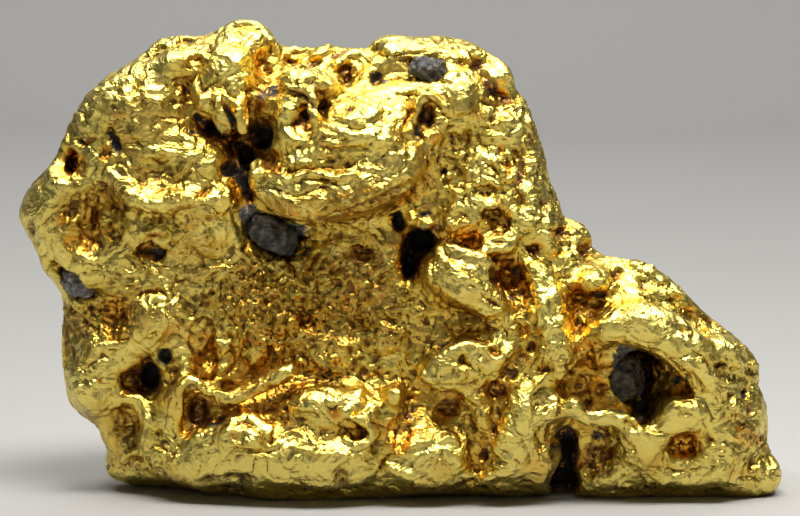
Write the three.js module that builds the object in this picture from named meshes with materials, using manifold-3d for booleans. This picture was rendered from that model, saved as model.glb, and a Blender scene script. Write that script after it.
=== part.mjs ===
// A large natural gold nugget that stands on its long edge, in millimetres.
// X runs along the nugget, -Y is its show face, +Z is up, and the origin is under its middle.
// The gold is one solid: a slab with the nugget's own outline, swollen by masses and lumps, eaten into
// by hollows, and finished with drips, rolls and rims. Four grains of its parent rock sit in it.

import * as THREE from "three";
import { mergeVertices } from "three/addons/utils/BufferGeometryUtils.js";
import { ImprovedNoise } from "three/addons/math/ImprovedNoise.js";
import Module from "manifold-3d";

const wasm = await Module();
wasm.setup();

// Driving dimensions
const slabThickness = 30; // through the rim, which the masses then thicken
const rimRound = 10; // how far the slab's edge is rounded over
const rimSway = 5; // how far the rim wanders forwards and back
const facet = 7; // wanted edge length of a facet on a lump
const mostDetail = 4; // finest division of a large mass
const swell = 0.18; // unevenness of a lump, as a share of its radius
const swellWave = 14; // distance from one swelling to the next
const shortestEdge = 3.1; // edges below this are closed up when the gold is done
const smallestEdge = 0.6; // the same, around the seats that are cut for the rock
const rockGap = 0.5; // clearance between the gold and a grain of rock

const noise = new ImprovedNoise();
const swelling = (x, y, z) => 1 + swell * noise.noise(x / swellWave, y / swellWave, z / swellWave);

// Turns a closed three.js geometry into a solid that can be joined and cut.
function solid(geometry) {
  geometry.deleteAttribute("normal");
  geometry.deleteAttribute("uv");
  const merged = mergeVertices(geometry, 1e-3);
  const mesh = new wasm.Mesh({
    numProp: 3,
    vertProperties: new Float32Array(merged.attributes.position.array),
    triVerts: new Uint32Array(merged.index.array),
  });
  return new wasm.Manifold(mesh);
}

// An uneven egg. The row is [x, y, z, radius x, radius y, radius z, turn],
// with turn in degrees, anticlockwise as the show face is seen.
function egg([x, y, z, rx, ry, rz, turn = 0], grow = 0) {
  const middle = (rx + ry + rz) / 3;
  const detail = THREE.MathUtils.clamp(Math.round(middle / facet), 1, mostDetail);
  const geometry = new THREE.IcosahedronGeometry(1, detail);
  geometry.scale(rx + grow, ry + grow, rz + grow);
  geometry.rotateY(-THREE.MathUtils.degToRad(turn));
  const points = geometry.attributes.position;
  const point = new THREE.Vector3();
  for (let i = 0; i < points.count; i++) {
    point.fromBufferAttribute(points, i);
    point.multiplyScalar(swelling(point.x + x, point.y + y, point.z + z));
    points.setXYZ(i, point.x + x, point.y + y, point.z + z);
  }
  return solid(geometry);
}

// A round-ended roll along a smooth line. Each row is [x, y, z, radius].
function roll(rows) {
  const line = new THREE.CatmullRomCurve3(rows.map(([x, y, z]) => new THREE.Vector3(x, y, z)));
  const thickest = Math.max(...rows.map((row) => row[3]));
  const stout = thickest > 5;
  const steps = Math.max(rows.length - 1, Math.round(line.getLength() / facet));
  const geometry = new THREE.CapsuleGeometry(1, 1, stout ? 2 : 1, stout ? 8 : 6, steps);
  const points = geometry.attributes.position;
  const depthAxis = new THREE.Vector3(0, 1, 0);
  const place = new THREE.Vector3();
  for (let i = 0; i < points.count; i++) {
    const along = THREE.MathUtils.clamp(points.getY(i) + 0.5, 0, 1);
    const past = points.getY(i) + 0.5 - along;
    const tangent = line.getTangent(along);
    const side = new THREE.Vector3().crossVectors(depthAxis, tangent).normalize();
    const out = new THREE.Vector3().crossVectors(side, tangent);
    const reach = along * (rows.length - 1);
    const first = Math.min(Math.floor(reach), rows.length - 2);
    line.getPoint(along, place);
    const plain = THREE.MathUtils.lerp(rows[first][3], rows[first + 1][3], reach - first);
    const radius = plain * swelling(place.x * 2, place.y * 2, place.z * 2);
    place.addScaledVector(side, points.getX(i) * radius);
    place.addScaledVector(tangent, past * radius);
    place.addScaledVector(out, points.getZ(i) * radius);
    points.setXYZ(i, place.x, place.y, place.z);
  }
  return solid(geometry);
}

// Joins eggs and rolls to a body, or cuts them out of it.
const shapeOf = (row) => (Array.isArray(row[0]) ? roll(row) : egg(row));
const join = (body, rows) => rows.reduce((made, row) => made.add(shapeOf(row)), body);
const cut = (body, rows) => rows.reduce((made, row) => made.subtract(shapeOf(row)), body);

// The outline of the show face, anticlockwise from the left foot: [x, z].
const outline = [
  [-90, -6], [-40, -6], [20, -6], [70, -6], [118, -6], [124, 2], [124, 12], [119, 24], [119, 38],
  [115, 48], [102, 58], [93, 68], [84, 75], [70, 79], [62, 84], [52, 92], [50, 104], [45, 116],
  [41, 129], [34, 140], [26, 148], [14, 150], [2, 150], [-12, 146], [-28, 147], [-42, 147],
  [-52, 153], [-64, 151], [-76, 150], [-87, 143], [-98, 133], [-107, 122], [-115, 111],
  [-124, 101], [-127, 92], [-120, 80], [-112, 68], [-110, 54], [-112, 40], [-107, 27], [-97, 19],
  [-93, 8],
];

// The slab: the outline with a rounded rim that sways forwards and back.
function slab() {
  const edge = new THREE.SplineCurve(outline.map(([x, z]) => new THREE.Vector2(x, z)));
  const rim = edge.getPoints(outline.length * 2);
  const layers = 6;
  const geometry = new THREE.ExtrudeGeometry(new THREE.Shape(rim), {
    depth: slabThickness,
    steps: layers,
    bevelEnabled: false,
  });
  const points = geometry.attributes.position;
  const corner = new THREE.Vector2();
  for (let i = 0; i < points.count; i++) {
    corner.set(points.getX(i), points.getY(i));
    const at = rim.findIndex((spot) => spot.distanceTo(corner) < 1e-3);
    const ahead = rim[(at + 1) % rim.length];
    const behind = rim[(at + rim.length - 1) % rim.length];
    const inwards = new THREE.Vector2(behind.y - ahead.y, ahead.x - behind.x).normalize();
    const across = (2 * points.getZ(i)) / slabThickness - 1;
    corner.addScaledVector(inwards, rimRound * (1 - Math.sqrt(1 - 0.98 * across * across)));
    const sway = rimSway * Math.sin(corner.x / 21 + corner.y / 34);
    points.setXYZ(i, corner.x, sway - (across * slabThickness) / 2, corner.y);
  }
  return solid(geometry);
}

// The main masses, front and back.
const masses = [
  [-78, 0, 114, 34, 22, 29, 35],
  [-99, 3, 86, 23, 18, 26],
  [-52, 0, 136, 20, 20, 17],
  [-8, 0, 121, 44, 25, 25],
  [26, 1, 107, 23, 23, 37, 12],
  [-34, 5, 106, 24, 20, 20],
  [-34, 4, 72, 76, 19, 44],
  [-22, 2, 22, 70, 27, 26],
  [36, -2, 42, 30, 25, 44],
  [74, 0, 49, 35, 24, 25, -28],
  [95, 0, 20, 29, 22, 24],
  [107, 0, 36, 13, 16, 18],
  [-97, 4, 36, 15, 15, 16],
  [-84, 10, 9, 12, 14, 12],
  [-64, 17, 98, 40, 19, 34, 20],
  [4, 17, 102, 40, 19, 34],
  [-44, 19, 42, 52, 20, 38],
  [30, 17, 46, 40, 19, 40],
  [84, 12, 32, 34, 17, 28, -15],
  [-95, 10, 64, 18, 14, 32],
];

// In each region the lumps are joined first, then hollows are cut, finishing pieces joined and pits cut.

// The upper left: a broad dome, its shoulder, the fluted bowl and the bright rim under a hollow.
const dome = {
  lumps: [
    [-117, -2, 97, 9, 10, 11, 20],
    [-72, -9, 144, 10, 11, 7, 15],
    [-87, -8, 127, 21, 14, 17, 35],
    [-66, -12, 111, 13, 13, 12],
    [-80, -11, 115, 14, 11, 8],
  ],
  hollows: [
    [-109, -13, 111, 5, 8, 7, -10],
    [-101, -20, 93, 13, 9, 13],
    [-80, -25, 109, 10, 6, 5],
    [[-98, -19, 123, 2.4], [-96, -19, 118, 3], [-94, -19, 113, 2.4]],
    [[-92, -23, 123, 1.6], [-84, -24, 122, 2], [-76, -24, 123, 1.6]],
  ],
  finish: [
    [[-107, -4, 119, 5], [-101, -6, 128, 6], [-91, -7, 137, 6.5], [-83, -6, 143, 5.5]],
    [[-84, -5, 146, 3], [-78, -5, 150, 3.5], [-70, -5, 151.5, 3.5], [-64, -6, 150, 3]],
    [[-110, -8, 117, 3], [-113, -9, 111, 3.5], [-110, -12, 104, 4], [-103, -15, 103, 3]],
    [[-93, -18, 112, 3], [-91, -21, 105, 3.4], [-85, -23, 100, 3.6], [-77, -24, 99, 3.6], [-68, -24, 102, 4]],
    [[-72, -23, 102, 4.4], [-64, -23, 100, 6], [-56, -22, 101, 5]],
    [[-106, -13, 106, 2.5], [-107, -15, 94, 3], [-108, -12, 84, 3.4]],
    [[-97, -14, 104, 3], [-96, -14, 92, 3.6], [-94, -13, 82, 3]],
    [[-91, -17, 96, 3], [-88, -17, 87, 3.6], [-91, -14, 78, 4]],
    [-63, -14, 92, 14, 10, 9],
    [-77, -13, 90, 11, 9, 8],
    [[-92, -20, 125.5, 2], [-84, -22, 125, 2.4], [-77, -21, 126, 2]],
  ],
  pits: [
    [-122, -7, 87, 3.4, 5, 4.4],
    [-67.5, -19, 144, 3.4, 5, 3, 20],
    [-82, -18, 82, 4.5, 8, 2.6, -25],
    [-57.5, -24, 109, 2.6, 6, 3.6],
    [-65, -28, 104, 1.6, 3, 3, -45],
    [-79, -27, 103.5, 4, 3, 1.2],
    [-88, -22, 135, 1.6, 3, 4, -50],
  ],
};

// The crown: drips over a dark gap, the top knob, shells along the rim and the caves at the right.
const crown = {
  lumps: [
    [-55, -13, 143, 11, 11, 10],
    [-51, -3, 152.5, 10, 10, 6],
    [-30, -23, 138, 11, 10, 6, -12],
    [-13, -22, 126, 16, 14, 9],
    [0, -2, 149, 11, 10, 5],
    [11, -3, 149, 8, 10, 4.5],
    [22, -4, 146, 9, 10, 6, -20],
    [31, -5, 140, 6, 10, 8, 40],
    [39, -4, 126, 5, 9, 9, 15],
  ],
  hollows: [
    [-50, -17, 119, 8, 13, 8],
    [-62, -18, 124, 7, 10, 4],
    [[-52, -18, 112, 3], [-51, -18, 104, 2.6], [-48, -20, 97, 2.4]],
    [-37, -9, 145, 5, 8, 3.6, 25],
    [-27, -13, 144, 7, 7, 3, 25],
    [-17, -14, 141, 6, 8, 4.4, 30],
    [-1, -17, 142, 11, 8, 4],
    [24, -17, 142, 6, 7, 3.2, -25],
    [33, -16, 133, 7, 7, 3, -10],
    [-43, -14, 143, 2.8, 8, 6, 20],
    [9.5, -24, 126, 5.5, 9, 7.5],
    [19, -22, 117, 4.5, 6, 2.6, 15],
  ],
  finish: [
    [[-66, -20, 138, 4], [-65, -22, 131, 3.2], [-64.5, -23, 127, 2.4]],
    [[-60, -21, 140, 4.5], [-59, -24, 130, 3.6], [-57, -25, 121, 2.6]],
    [[-54, -21, 141, 5], [-52, -24, 131, 4.4], [-50.5, -25, 122, 3.2]],
    [[-44, -20, 134, 3], [-45.5, -22, 127, 2.2]],
    [[-64, -4, 151, 3.4], [-58, -7, 154, 3.6], [-51, -8, 156, 4], [-45, -6, 155, 4]],
    [-55, -12, 149, 5, 6, 6],
    [-47.5, -11, 151, 4, 6, 5],
    [[-43, -5, 155, 3], [-41.5, -6, 149, 2.8], [-42, -9, 144, 2.6], [-38, -12, 140, 2.6]],
    [[-41, -3, 146.5, 2.6], [-34, -4, 148.5, 2.8], [-26, -4, 149, 2.8], [-18, -4, 148, 2.6], [-11, -4, 147, 3]],
    [[-36, -9, 141, 2.2], [-29, -10, 145, 2.2], [-22, -6, 147.5, 2.4]],
    [[-25, -12, 141, 2.2], [-19, -11, 145, 2.4], [-12, -7, 147.5, 2.4]],
    [[-40, -27, 139, 2.4], [-32, -31, 139, 3], [-28, -33, 133, 3], [-27.5, -32, 124, 3]],
    [-37, -22, 130, 6.5, 10, 4],
    [-37, -24, 120, 5, 10, 5.5],
    [[-26, -32, 121, 4.4], [-14, -34, 121.5, 5], [-2, -32, 121, 4.4]],
    [[2, -22, 134, 3], [2, -24, 127, 3], [3, -26, 118, 3.4]],
    [20, -18, 132, 7, 9, 9],
    [11.5, -18, 119, 5.5, 7, 5],
    [18, -20, 122, 6, 5, 3.4, 25],
    [33, -13, 123, 8.5, 10, 7],
    [[4, -20, 136, 3], [12, -20, 136.5, 3], [19, -19, 140, 3.4]],
  ],
  pits: [
    [-33, -33, 127.5, 4.6, 6, 2.6],
    [-18, -34, 131, 4.4, 6, 2],
    [-6, -34, 127.5, 5, 6, 2, 25],
    [-8, -21, 137, 3.2, 5, 3.2],
    [[-36, -29, 135.5, 1.8], [-31, -32, 133, 1.8]],
    [29, -24, 121, 2.2, 4, 3, -20],
  ],
};

// The great lip across the middle and the gap beneath it.
const lip = {
  lumps: [
    [-20, -14, 105, 28, 18, 13],
  ],
  hollows: [
    [[-50, -24, 101, 3], [-44, -23, 93, 4], [-34, -20, 88, 4.4], [-20, -22, 91, 3], [-6, -24, 97, 2.6]],
    [-42, -16, 88, 12, 8, 5.5, -30],
    [-43, -34, 112, 3.4, 6, 2.4],
  ],
  finish: [
    [[-44, -25, 107, 6], [-35, -30, 103, 8], [-21, -32, 103, 8.5], [-8, -30, 107, 8.5], [2, -27, 112, 7], [6, -23, 116, 5]],
    [-45, -27, 112, 4.4, 6, 5],
    [[-39, -34, 112, 2.6], [-28, -36, 111.5, 3.2], [-18, -37, 111.5, 3], [-9, -35, 111, 2.6]],
  ],
  pits: [
    [-25, -40, 107.5, 2.6, 4, 1.2],
  ],
};

// The sunken middle, with upright folds and shallow bowls, and the bright plate left of it.
const recess = {
  lumps: [
    [-77, -14, 62, 8, 8, 12, 10],
    [-46, -15, 60, 6, 6, 15, -8],
    [-22, -16, 49, 14, 6, 6, 10],
    [-6, -14, 68, 8, 7, 9, 30],
    [-56, -14, 77, 10, 7, 5, 25],
    [-26, -15, 77, 6, 6, 8, -15],
  ],
  hollows: [
    [-64, -22, 50, 6.5, 9, 11, -8],
    [-53, -22, 47, 4.4, 8, 9, 10],
    [-33, -22, 62, 6, 8, 9],
    [-14, -22, 59, 7, 7, 5, 20],
    [-68, -21, 69, 5, 6, 4],
    [-42, -21, 79, 6, 6, 3.6, -20],
    [-12, -20, 82, 5, 6, 6, 30],
  ],
  finish: [
    [[-71, -17, 60, 3], [-69, -18, 48, 3], [-71, -18, 39, 3]],
    [[-58.5, -17, 62, 2.8], [-58, -19, 50, 3], [-59, -20, 40, 3]],
    [[-49, -18, 74, 3], [-48, -19, 60, 3], [-46, -20, 46, 3]],
    [[-40, -17, 74, 2.8], [-38, -18, 62, 3], [-29, -19, 54, 3], [-18, -20, 52, 3]],
    [[-27, -18, 66, 3], [-20, -18, 64, 3], [-19, -18, 73, 3], [-13, -17, 80, 3]],
    [[-10, -18, 76, 2.8], [-4, -18, 68, 3], [-8, -19, 60, 2.8], [-4, -19, 52, 2.8]],
    [[-86, -16, 69, 3], [-83, -18, 61, 3.6], [-84, -17, 53, 3.6]],
    [-76, -17, 57, 4.6, 4, 5],
  ],
  pits: [
    [[-87, -19, 70, 1.4], [-78, -19, 69.5, 1.6]],
  ],
};

// Right of the middle: the dark hole, the thumb, two dishes, the column and the stepped edge.
const middle = {
  lumps: [
    [17, -18, 75, 13, 12, 9.5, -25],
    [24, -14, 96, 14, 12, 10, 15],
    [45, -13, 88, 8, 11, 14],
    [50, -16, 60, 8, 13, 16],
    [22, -20, 48, 16, 11, 8, 10],
  ],
  hollows: [
    [7, -16, 87, 6.5, 14, 6, 30],
    [3, -16, 78, 3.2, 12, 6],
    [-1, -18, 93, 2.4, 9, 4, 15],
    [29, -26, 102, 6.5, 5.5, 3.8],
    [31, -26, 95, 6.5, 6, 4.4],
    [35, -26, 75, 4.6, 9, 6.6],
    [40.5, -22, 70, 2.6, 9, 5.5],
    [[43, -22, 53, 3.4], [38, -24, 46, 3], [30, -26, 41, 2.6]],
    [32, -28, 37, 6.5, 8, 5],
    [[39, -16, 120, 2.2], [39.5, -15, 112, 2.4], [40, -14, 105, 3]],
    [49, -10, 97, 2.6, 6, 3, 20],
    [[45, -23, 43, 2], [56, -23, 43, 2]],
  ],
  finish: [
    [3.5, -20, 93, 3, 5, 3],
    [8.5, -20, 91.5, 2.8, 5, 2.4],
    [[13, -24, 84, 4], [20, -27, 82, 4.5], [28, -27, 79, 4]],
    [[15, -27, 76, 7], [24, -28, 71, 6], [32, -26, 65, 4.5]],
    [[18, -21, 103, 2.4], [26, -23, 107.5, 2.6], [34, -21, 106, 2.6], [37, -22, 100, 3]],
    [[38, -23, 98, 3], [39, -23, 91, 3.2], [35, -25, 86.5, 3.6], [28, -24, 86, 3.4]],
    [[24, -23, 99, 2.2], [31, -24, 99, 2.2]],
    [[42, -22, 79, 4], [47, -25, 73, 5], [49, -26, 64, 6], [50, -27, 54, 6], [52, -26, 48, 5.4]],
    [44, -13, 99, 4.5, 8, 8],
    [34.5, -15, 110, 4.4, 8, 7],
    [44, -6, 110, 5, 8, 8, 10],
    [50, -3, 99, 3.4, 7, 6.4, 25],
    [57, -5, 87, 7, 9, 4.5, -28],
    [[8, -27, 42, 4], [13, -29, 48, 3.6], [20, -29, 53, 3.6], [26, -30, 53, 3]],
    [17, -27, 43, 10, 7, 5, 6],
    [[25, -29, 52, 3], [31, -30, 48, 3], [36, -29, 52, 3]],
    [[24, -28, 46, 3.4], [31, -29, 45, 4], [37, -27, 49, 3]],
  ],
  pits: [
    [44, -22, 82.5, 3.8, 7, 2.8],
    [52, -16, 87, 3.4, 7, 3],
    [61, -11, 81, 3.8, 7, 3.8],
    [33, -29, 86.5, 2, 3, 1.4],
    [17, -19, 107.5, 3, 5, 1.8, -20],
  ],
};

// The wing: its rim, the hood over the cavity, the ledges below it and the thick right-hand end.
const wing = {
  lumps: [
    [74, -10, 62, 20, 12, 12, -20],
    [106, -13, 49, 10, 11, 7, -15],
    [106, -13, 24, 11, 12, 22],
    [94, -18, 28, 12, 11, 9],
    [78, -16, 20, 12, 11, 10],
    [123, -3, 6, 5.5, 11, 8],
    [117, -2, 28, 5, 12, 10],
    [92, -12, 8, 24, 12, 9],
  ],
  hollows: [
    [80, -20, 42, 11, 16, 10.5],
    [80, -22, 30, 4.8, 14, 8],
    [54.5, -18, 8, 4.6, 18, 17],
    [66, -25, 13, 8, 12, 10],
    [59.5, -22, 66, 4.6, 8, 5],
    [66, -22, 68.5, 5.5, 8, 1.8, -8],
    [81.5, -17, 71, 2.8, 7, 3],
    [94, -30, 18, 7.5, 10, 6.6],
  ],
  finish: [
    [[67, -6, 78, 4], [76, -8, 76.5, 5], [86, -8, 71, 4.6], [93, -7, 65, 4.2], [100, -6, 58, 4]],
    [[99, -6, 58, 4], [107, -5, 53, 4], [114, -5, 47, 4.4], [118, -4, 40, 4.2]],
    [63, -19, 73, 7.5, 8, 4],
    [[59, -23, 52, 4.8], [67, -26, 59, 6], [79, -26, 61, 8], [91, -26, 54, 8.6], [98, -25, 46, 7], [101, -24, 39, 5.4]],
    [88, -12, 43, 6, 6, 6],
    [[56, -26, 34, 4.6], [63, -27, 29.5, 4], [72, -28, 31, 4.6], [77, -27, 25, 4.6], [82, -26, 22, 4.4], [87, -26, 29, 4]],
    [94, -25, 32, 9.5, 7, 5],
    [[103, -20, 44, 5], [104, -20, 34, 6], [103, -20, 24, 6.4], [105, -18, 12, 8]],
    [80, -23, 17, 7, 5, 6, -30],
    [106, -18, 51, 8.5, 8, 4.6, -12],
    [[64, -18, 8, 3], [70, -18, 10, 3], [76, -19, 14, 3]],
  ],
  pits: [
    [107, -23, 45, 4.2, 6, 2.2, 5],
    [112, -17, 40, 4.6, 6, 1.8, -15],
    [113, -17, 35, 3.4, 7, 3.6],
    [113, -20, 27, 2.6, 6, 3.4],
    [114, -18, 11.5, 2.2, 6, 3.8],
    [62.5, -30, 33, 2.2, 5, 3.2],
    [101, -26, 20, 3, 5, 2.6],
    [73, -15, 74, 2.2, 5, 2.2],
    [103, -11, 56, 5, 6, 1.4, -30],
    [92, -35, 58, 2, 2.6, 1.4, -30],
  ],
};

// The lower front: pockets, ridges, fingers and rings above the base, and the left foot.
const foot = {
  lumps: [
    [-50, -14, 14, 32, 15, 12],
    [4, -14, 16, 26, 15, 14],
    [36, -14, 20, 14, 14, 20],
    [-74, -8, 28, 9, 14, 16],
    [-100, -4, 37, 10, 13, 11],
    [-26, -18, 32, 14, 13, 8],
  ],
  hollows: [
    [-84, -20, -1, 22, 27, 7],
    [[-62, -26, -2, 8], [-20, -28, -1, 9], [20, -26, -2, 8], [50, -24, -2, 8]],
    [[60, -22, -2, 8], [86, -20, -2, 9], [112, -19, -2, 8], [128, -16, -2, 6]],
    [-66, -22, 30, 7.4, 12, 8.6],
    [-83, -16, 41, 4.6, 14, 8.5],
    [-91, -17, 38, 7, 8, 6],
    [-91, -12, 25, 7, 10, 8],
    [-99, -17, 62, 12, 9, 10],
    [-44, -30, 32, 11, 8, 3.8, -5],
    [14, -30, 32, 8.5, 8, 5.4, 5],
    [1, -34, 24, 6, 7, 9, 15],
    [-57, -24, 1, 9, 16, 6],
    [[-19, -36, 4, 3.4], [-21, -35, 11, 3.2]],
    [-109, -8, 73, 4.6, 7, 2.6, -25],
  ],
  finish: [
    [[-77, -17, 18, 4.6], [-76, -20, 28, 4.2], [-74, -22, 37, 3.6], [-68, -23, 41.5, 3.4], [-60, -23, 37, 3.4], [-57, -25, 34, 3.4]],
    [[-60, -25, 34, 3.2], [-50, -27, 38, 4], [-42, -27, 42, 4], [-34, -25, 46, 3.4]],
    [-53, -28, 25, 8.5, 8, 6.4],
    [-43.5, -29, 23, 4.4, 6, 4.6],
    [[-36, -26, 34, 5], [-26, -28, 36, 6], [-16, -28, 33, 5.2], [-9, -28, 29, 4]],
    [[-24, -31, 29, 3.4], [-15, -32, 31, 3.4], [-8, -32, 27, 3.6], [-8, -32, 22, 3.4], [-17, -33, 20.5, 3.8]],
    [[-78, -15, 16, 6.6], [-62, -20, 18, 8], [-44, -24, 16, 9], [-28, -25, 16, 10], [-14, -24, 15, 9.6]],
    [-2, -22, 36, 5.5, 11, 4],
    [-13, -25, 38.4, 3, 6, 4.4],
    [13, -22, 17, 12, 10, 11],
    [[24, -26, 38, 4], [26, -28, 30, 4.6], [28, -28, 25, 4.2]],
    [[46, -26, 40, 5], [41, -28, 33, 5.4], [38, -29, 24, 6.4], [37, -27, 16, 7]],
    [49, -26, 32, 5, 7, 5],
    [46, -18, 17, 7, 10, 13],
    [53, -18, 16, 2.4, 6, 3.8],
    [[-5, -27, 14, 3], [3, -29, 11, 3], [10, -26, 8, 3]],
    [[22, -26, 9, 3], [31, -28, 12, 3], [40, -26, 13, 3]],
    [-91, 6, 9, 10, 12, 8],
    [-93, 2, 20, 8, 12, 9],
    [-100, -7, 38, 8, 11, 9],
    [[-104, -8, 46, 3.2], [-99, -12, 51, 3.4], [-91, -13, 51, 3.4], [-85, -14, 49, 3]],
    [[-94, -12, 34, 2.6], [-88, -14, 33, 3], [-84, -15, 28, 3.2], [-83, -13, 18, 3.6]],
    [[-111, 1, 66, 3], [-110.5, 1, 52, 3.4], [-111, 1, 42, 3.6], [-108, 0, 32, 4]],
    [-79.5, -18, 44, 2, 6, 2],
  ],
  pits: [
    [-53, -36, 23, 4.8, 5, 3.4],
    [-15, -36, 26, 4.2, 5, 2.8],
    [47, -33, 32, 2.4, 3, 2.2],
    [[24, -31, 13, 1.6], [29, -32, 20, 1.7], [31, -32, 26, 1.6]],
    [5, -31, 30, 2.4, 6, 1.6],
    [-78, -21, 20, 3, 4, 1.6, 20],
    [-100, -18, 38, 2.2, 4, 2],
    [30, -36, 14, 1.6, 4, 4, -40],
  ],
};

// The hidden side, with broader lumps and shallower bowls.
const back = {
  lumps: [
    [-94, 14, 110, 18, 12, 17, 30],
    [-60, 25, 116, 24, 12, 19, 20],
    [-18, 27, 126, 24, 12, 13, -10],
    [22, 23, 125, 18, 14, 17, -20],
    [-84, 23, 84, 21, 12, 19, 10],
    [-36, 29, 92, 26, 12, 18, -30],
    [10, 29, 88, 23, 12, 20, 20],
    [38, 22, 94, 13, 12, 22],
    [-72, 26, 46, 24, 13, 21, -20],
    [-26, 30, 44, 25, 12, 20, 30],
    [20, 28, 44, 23, 13, 22],
    [58, 22, 60, 20, 12, 17, -35],
    [88, 20, 42, 22, 12, 15, -20],
    [62, 24, 26, 22, 14, 17],
    [100, 18, 18, 18, 13, 16],
    [-58, 26, 16, 27, 14, 14],
    [0, 28, 16, 31, 13, 14],
    [-97, 14, 40, 13, 12, 17],
  ],
  hollows: [
    [-42, 38, 110, 11, 9, 9, 20],
    [-4, 42, 106, 13, 11, 8, -25],
    [-58, 40, 66, 14, 11, 9, 15],
    [-4, 44, 66, 12, 11, 12],
    [36, 38, 70, 9, 11, 11, 30],
    [-100, 26, 64, 8, 10, 9],
    [76, 38, 34, 8, 11, 9],
    [-40, 42, 24, 11, 9, 8],
    [34, 41, 18, 9, 9, 9],
    [-76, 34, 104, 9, 9, 7],
  ],
  finish: [
    [[-104, 14, 96, 5], [-92, 24, 98, 6.4], [-76, 30, 94, 5]],
    [[-48, 30, 128, 5], [-38, 35, 118, 6.4], [-30, 36, 106, 5]],
    [[-58, 33, 80, 5], [-44, 37, 74, 6.4], [-30, 37, 70, 5]],
    [[12, 34, 112, 5], [24, 33, 104, 5.6], [30, 31, 92, 5]],
    [[-60, 33, 34, 5], [-48, 37, 40, 6.4], [-40, 37, 50, 5]],
    [[44, 31, 54, 5], [50, 33, 44, 6.4], [46, 34, 33, 5]],
    [[86, 28, 36, 5], [97, 27, 31, 5.4], [104, 24, 22, 5]],
  ],
  pits: [
    [-20, 40, 114, 5, 7, 4],
    [-94, 32, 84, 5, 8, 4, 20],
    [14, 41, 60, 5, 7, 6],
    [64, 36, 46, 5, 8, 4, -30],
    [-14, 43, 32, 5, 7, 5],
    [-82, 38, 42, 4, 8, 6],
    [22, 37, 124, 4, 8, 5],
    [-70, 36, 122, 6, 6, 4, -30],
  ],
};

const regions = [back, dome, crown, lip, recess, middle, wing, foot];

// The grains of parent rock, each an egg that sits in a seat cut to fit it.
const grains = {
  ironstone_under_lip: [-42, -14, 89, 10, 8, 6, -30],
  ironstone_in_wing: [74, -12, 41, 6, 9, 9, 15],
  ironstone_on_crown: [9, -15, 143, 6.5, 6, 4, -8],
  quartz_at_edge: [-106, -7, 72, 6, 7, 4.4, -25],
};

// Closes up edges shorter than the limit, shortest first, where the surface stays closed and unfolded.
// Points on the flat feet stay at height 0. Returns a geometry with flat facets.
function closeShortEdges(mesh, limit) {
  const at = [];
  for (let i = 0; i < mesh.vertProperties.length; i += 3) {
    at.push(new THREE.Vector3().fromArray(mesh.vertProperties, i));
  }
  const faces = [];
  const facesAt = at.map(() => new Set());
  for (let i = 0; i < mesh.triVerts.length; i += 3) {
    const face = [...mesh.triVerts.slice(i, i + 3)];
    face.forEach((point) => facesAt[point].add(faces.length));
    faces.push(face);
  }
  const neighbours = (point) => {
    const found = new Set();
    facesAt[point].forEach((f) => faces[f].forEach((other) => found.add(other)));
    found.delete(point);
    return found;
  };
  const normalOf = (a, b, c) => b.clone().sub(a).cross(c.clone().sub(a));
  const grounded = (point) => at[point].z < 1e-6;
  const folds = (from, to, place) =>
    [...facesAt[from]].some((f) => {
      if (faces[f].includes(to)) return false;
      const before = normalOf(...faces[f].map((p) => at[p]));
      const after = normalOf(...faces[f].map((p) => (p === from ? place : at[p])));
      return before.dot(after) <= 0.3 * before.length() * after.length();
    });
  let closed = 1;
  while (closed > 0) {
    closed = 0;
    const short = [];
    for (const face of faces) {
      if (!face) continue;
      face.forEach((a, k) => {
        const b = face[(k + 1) % 3];
        const length = at[a].distanceTo(at[b]);
        if (a < b && length < limit) short.push([length, a, b]);
      });
    }
    short.sort((one, other) => one[0] - other[0]);
    for (const [, a, b] of short) {
      if (!facesAt[a].size || !facesAt[b].size || at[a].distanceTo(at[b]) >= limit) continue;
      const around = neighbours(a);
      if (!around.has(b) || grounded(a) !== grounded(b)) continue;
      const shared = [...neighbours(b)].filter((point) => around.has(point));
      const place = at[a].clone().lerp(at[b], 0.5);
      if (shared.length !== 2 || folds(a, b, place) || folds(b, a, place)) continue;
      at[a].copy(place);
      for (const f of facesAt[b]) {
        if (faces[f].includes(a)) {
          faces[f].forEach((point) => point !== b && facesAt[point].delete(f));
          faces[f] = null;
        } else {
          faces[f][faces[f].indexOf(b)] = a;
          facesAt[a].add(f);
        }
      }
      facesAt[b].clear();
      closed++;
    }
  }
  const geometry = new THREE.BufferGeometry();
  const corners = faces.filter((face) => face).flatMap((face) => face.flatMap((p) => at[p].toArray()));
  geometry.setAttribute("position", new THREE.Float32BufferAttribute(corners, 3));
  return geometry;
}

// The gold, built up in the order that a sculptor would work, and cut flat where it stands.
function gold() {
  let body = join(slab(), masses);
  regions.forEach((region) => (body = join(body, region.lumps)));
  regions.forEach((region) => (body = cut(body, region.hollows)));
  regions.forEach((region) => (body = join(body, region.finish)));
  regions.forEach((region) => (body = cut(body, region.pits)));
  const below = new THREE.BoxGeometry(400, 200, 60).translate(0, 0, -30);
  body = body.subtract(solid(below));
  let geometry = closeShortEdges(body.getMesh(), shortestEdge);
  body = solid(geometry);
  Object.values(grains).forEach((grain) => (body = body.subtract(egg(grain, rockGap))));
  return closeShortEdges(body.getMesh(), smallestEdge);
}

const colours = {
  gold: new THREE.MeshStandardMaterial({ color: 0xd4a62a, roughness: 0.28, metalness: 1 }),
  ironstone: new THREE.MeshStandardMaterial({ color: 0x3c3a35, roughness: 0.85, metalness: 0 }),
  quartz: new THREE.MeshStandardMaterial({ color: 0xcfc7b8, roughness: 0.5, metalness: 0 }),
};

function named(name, geometry, colour) {
  const mesh = new THREE.Mesh(geometry, colours[colour]);
  mesh.name = name;
  return mesh;
}

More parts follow.
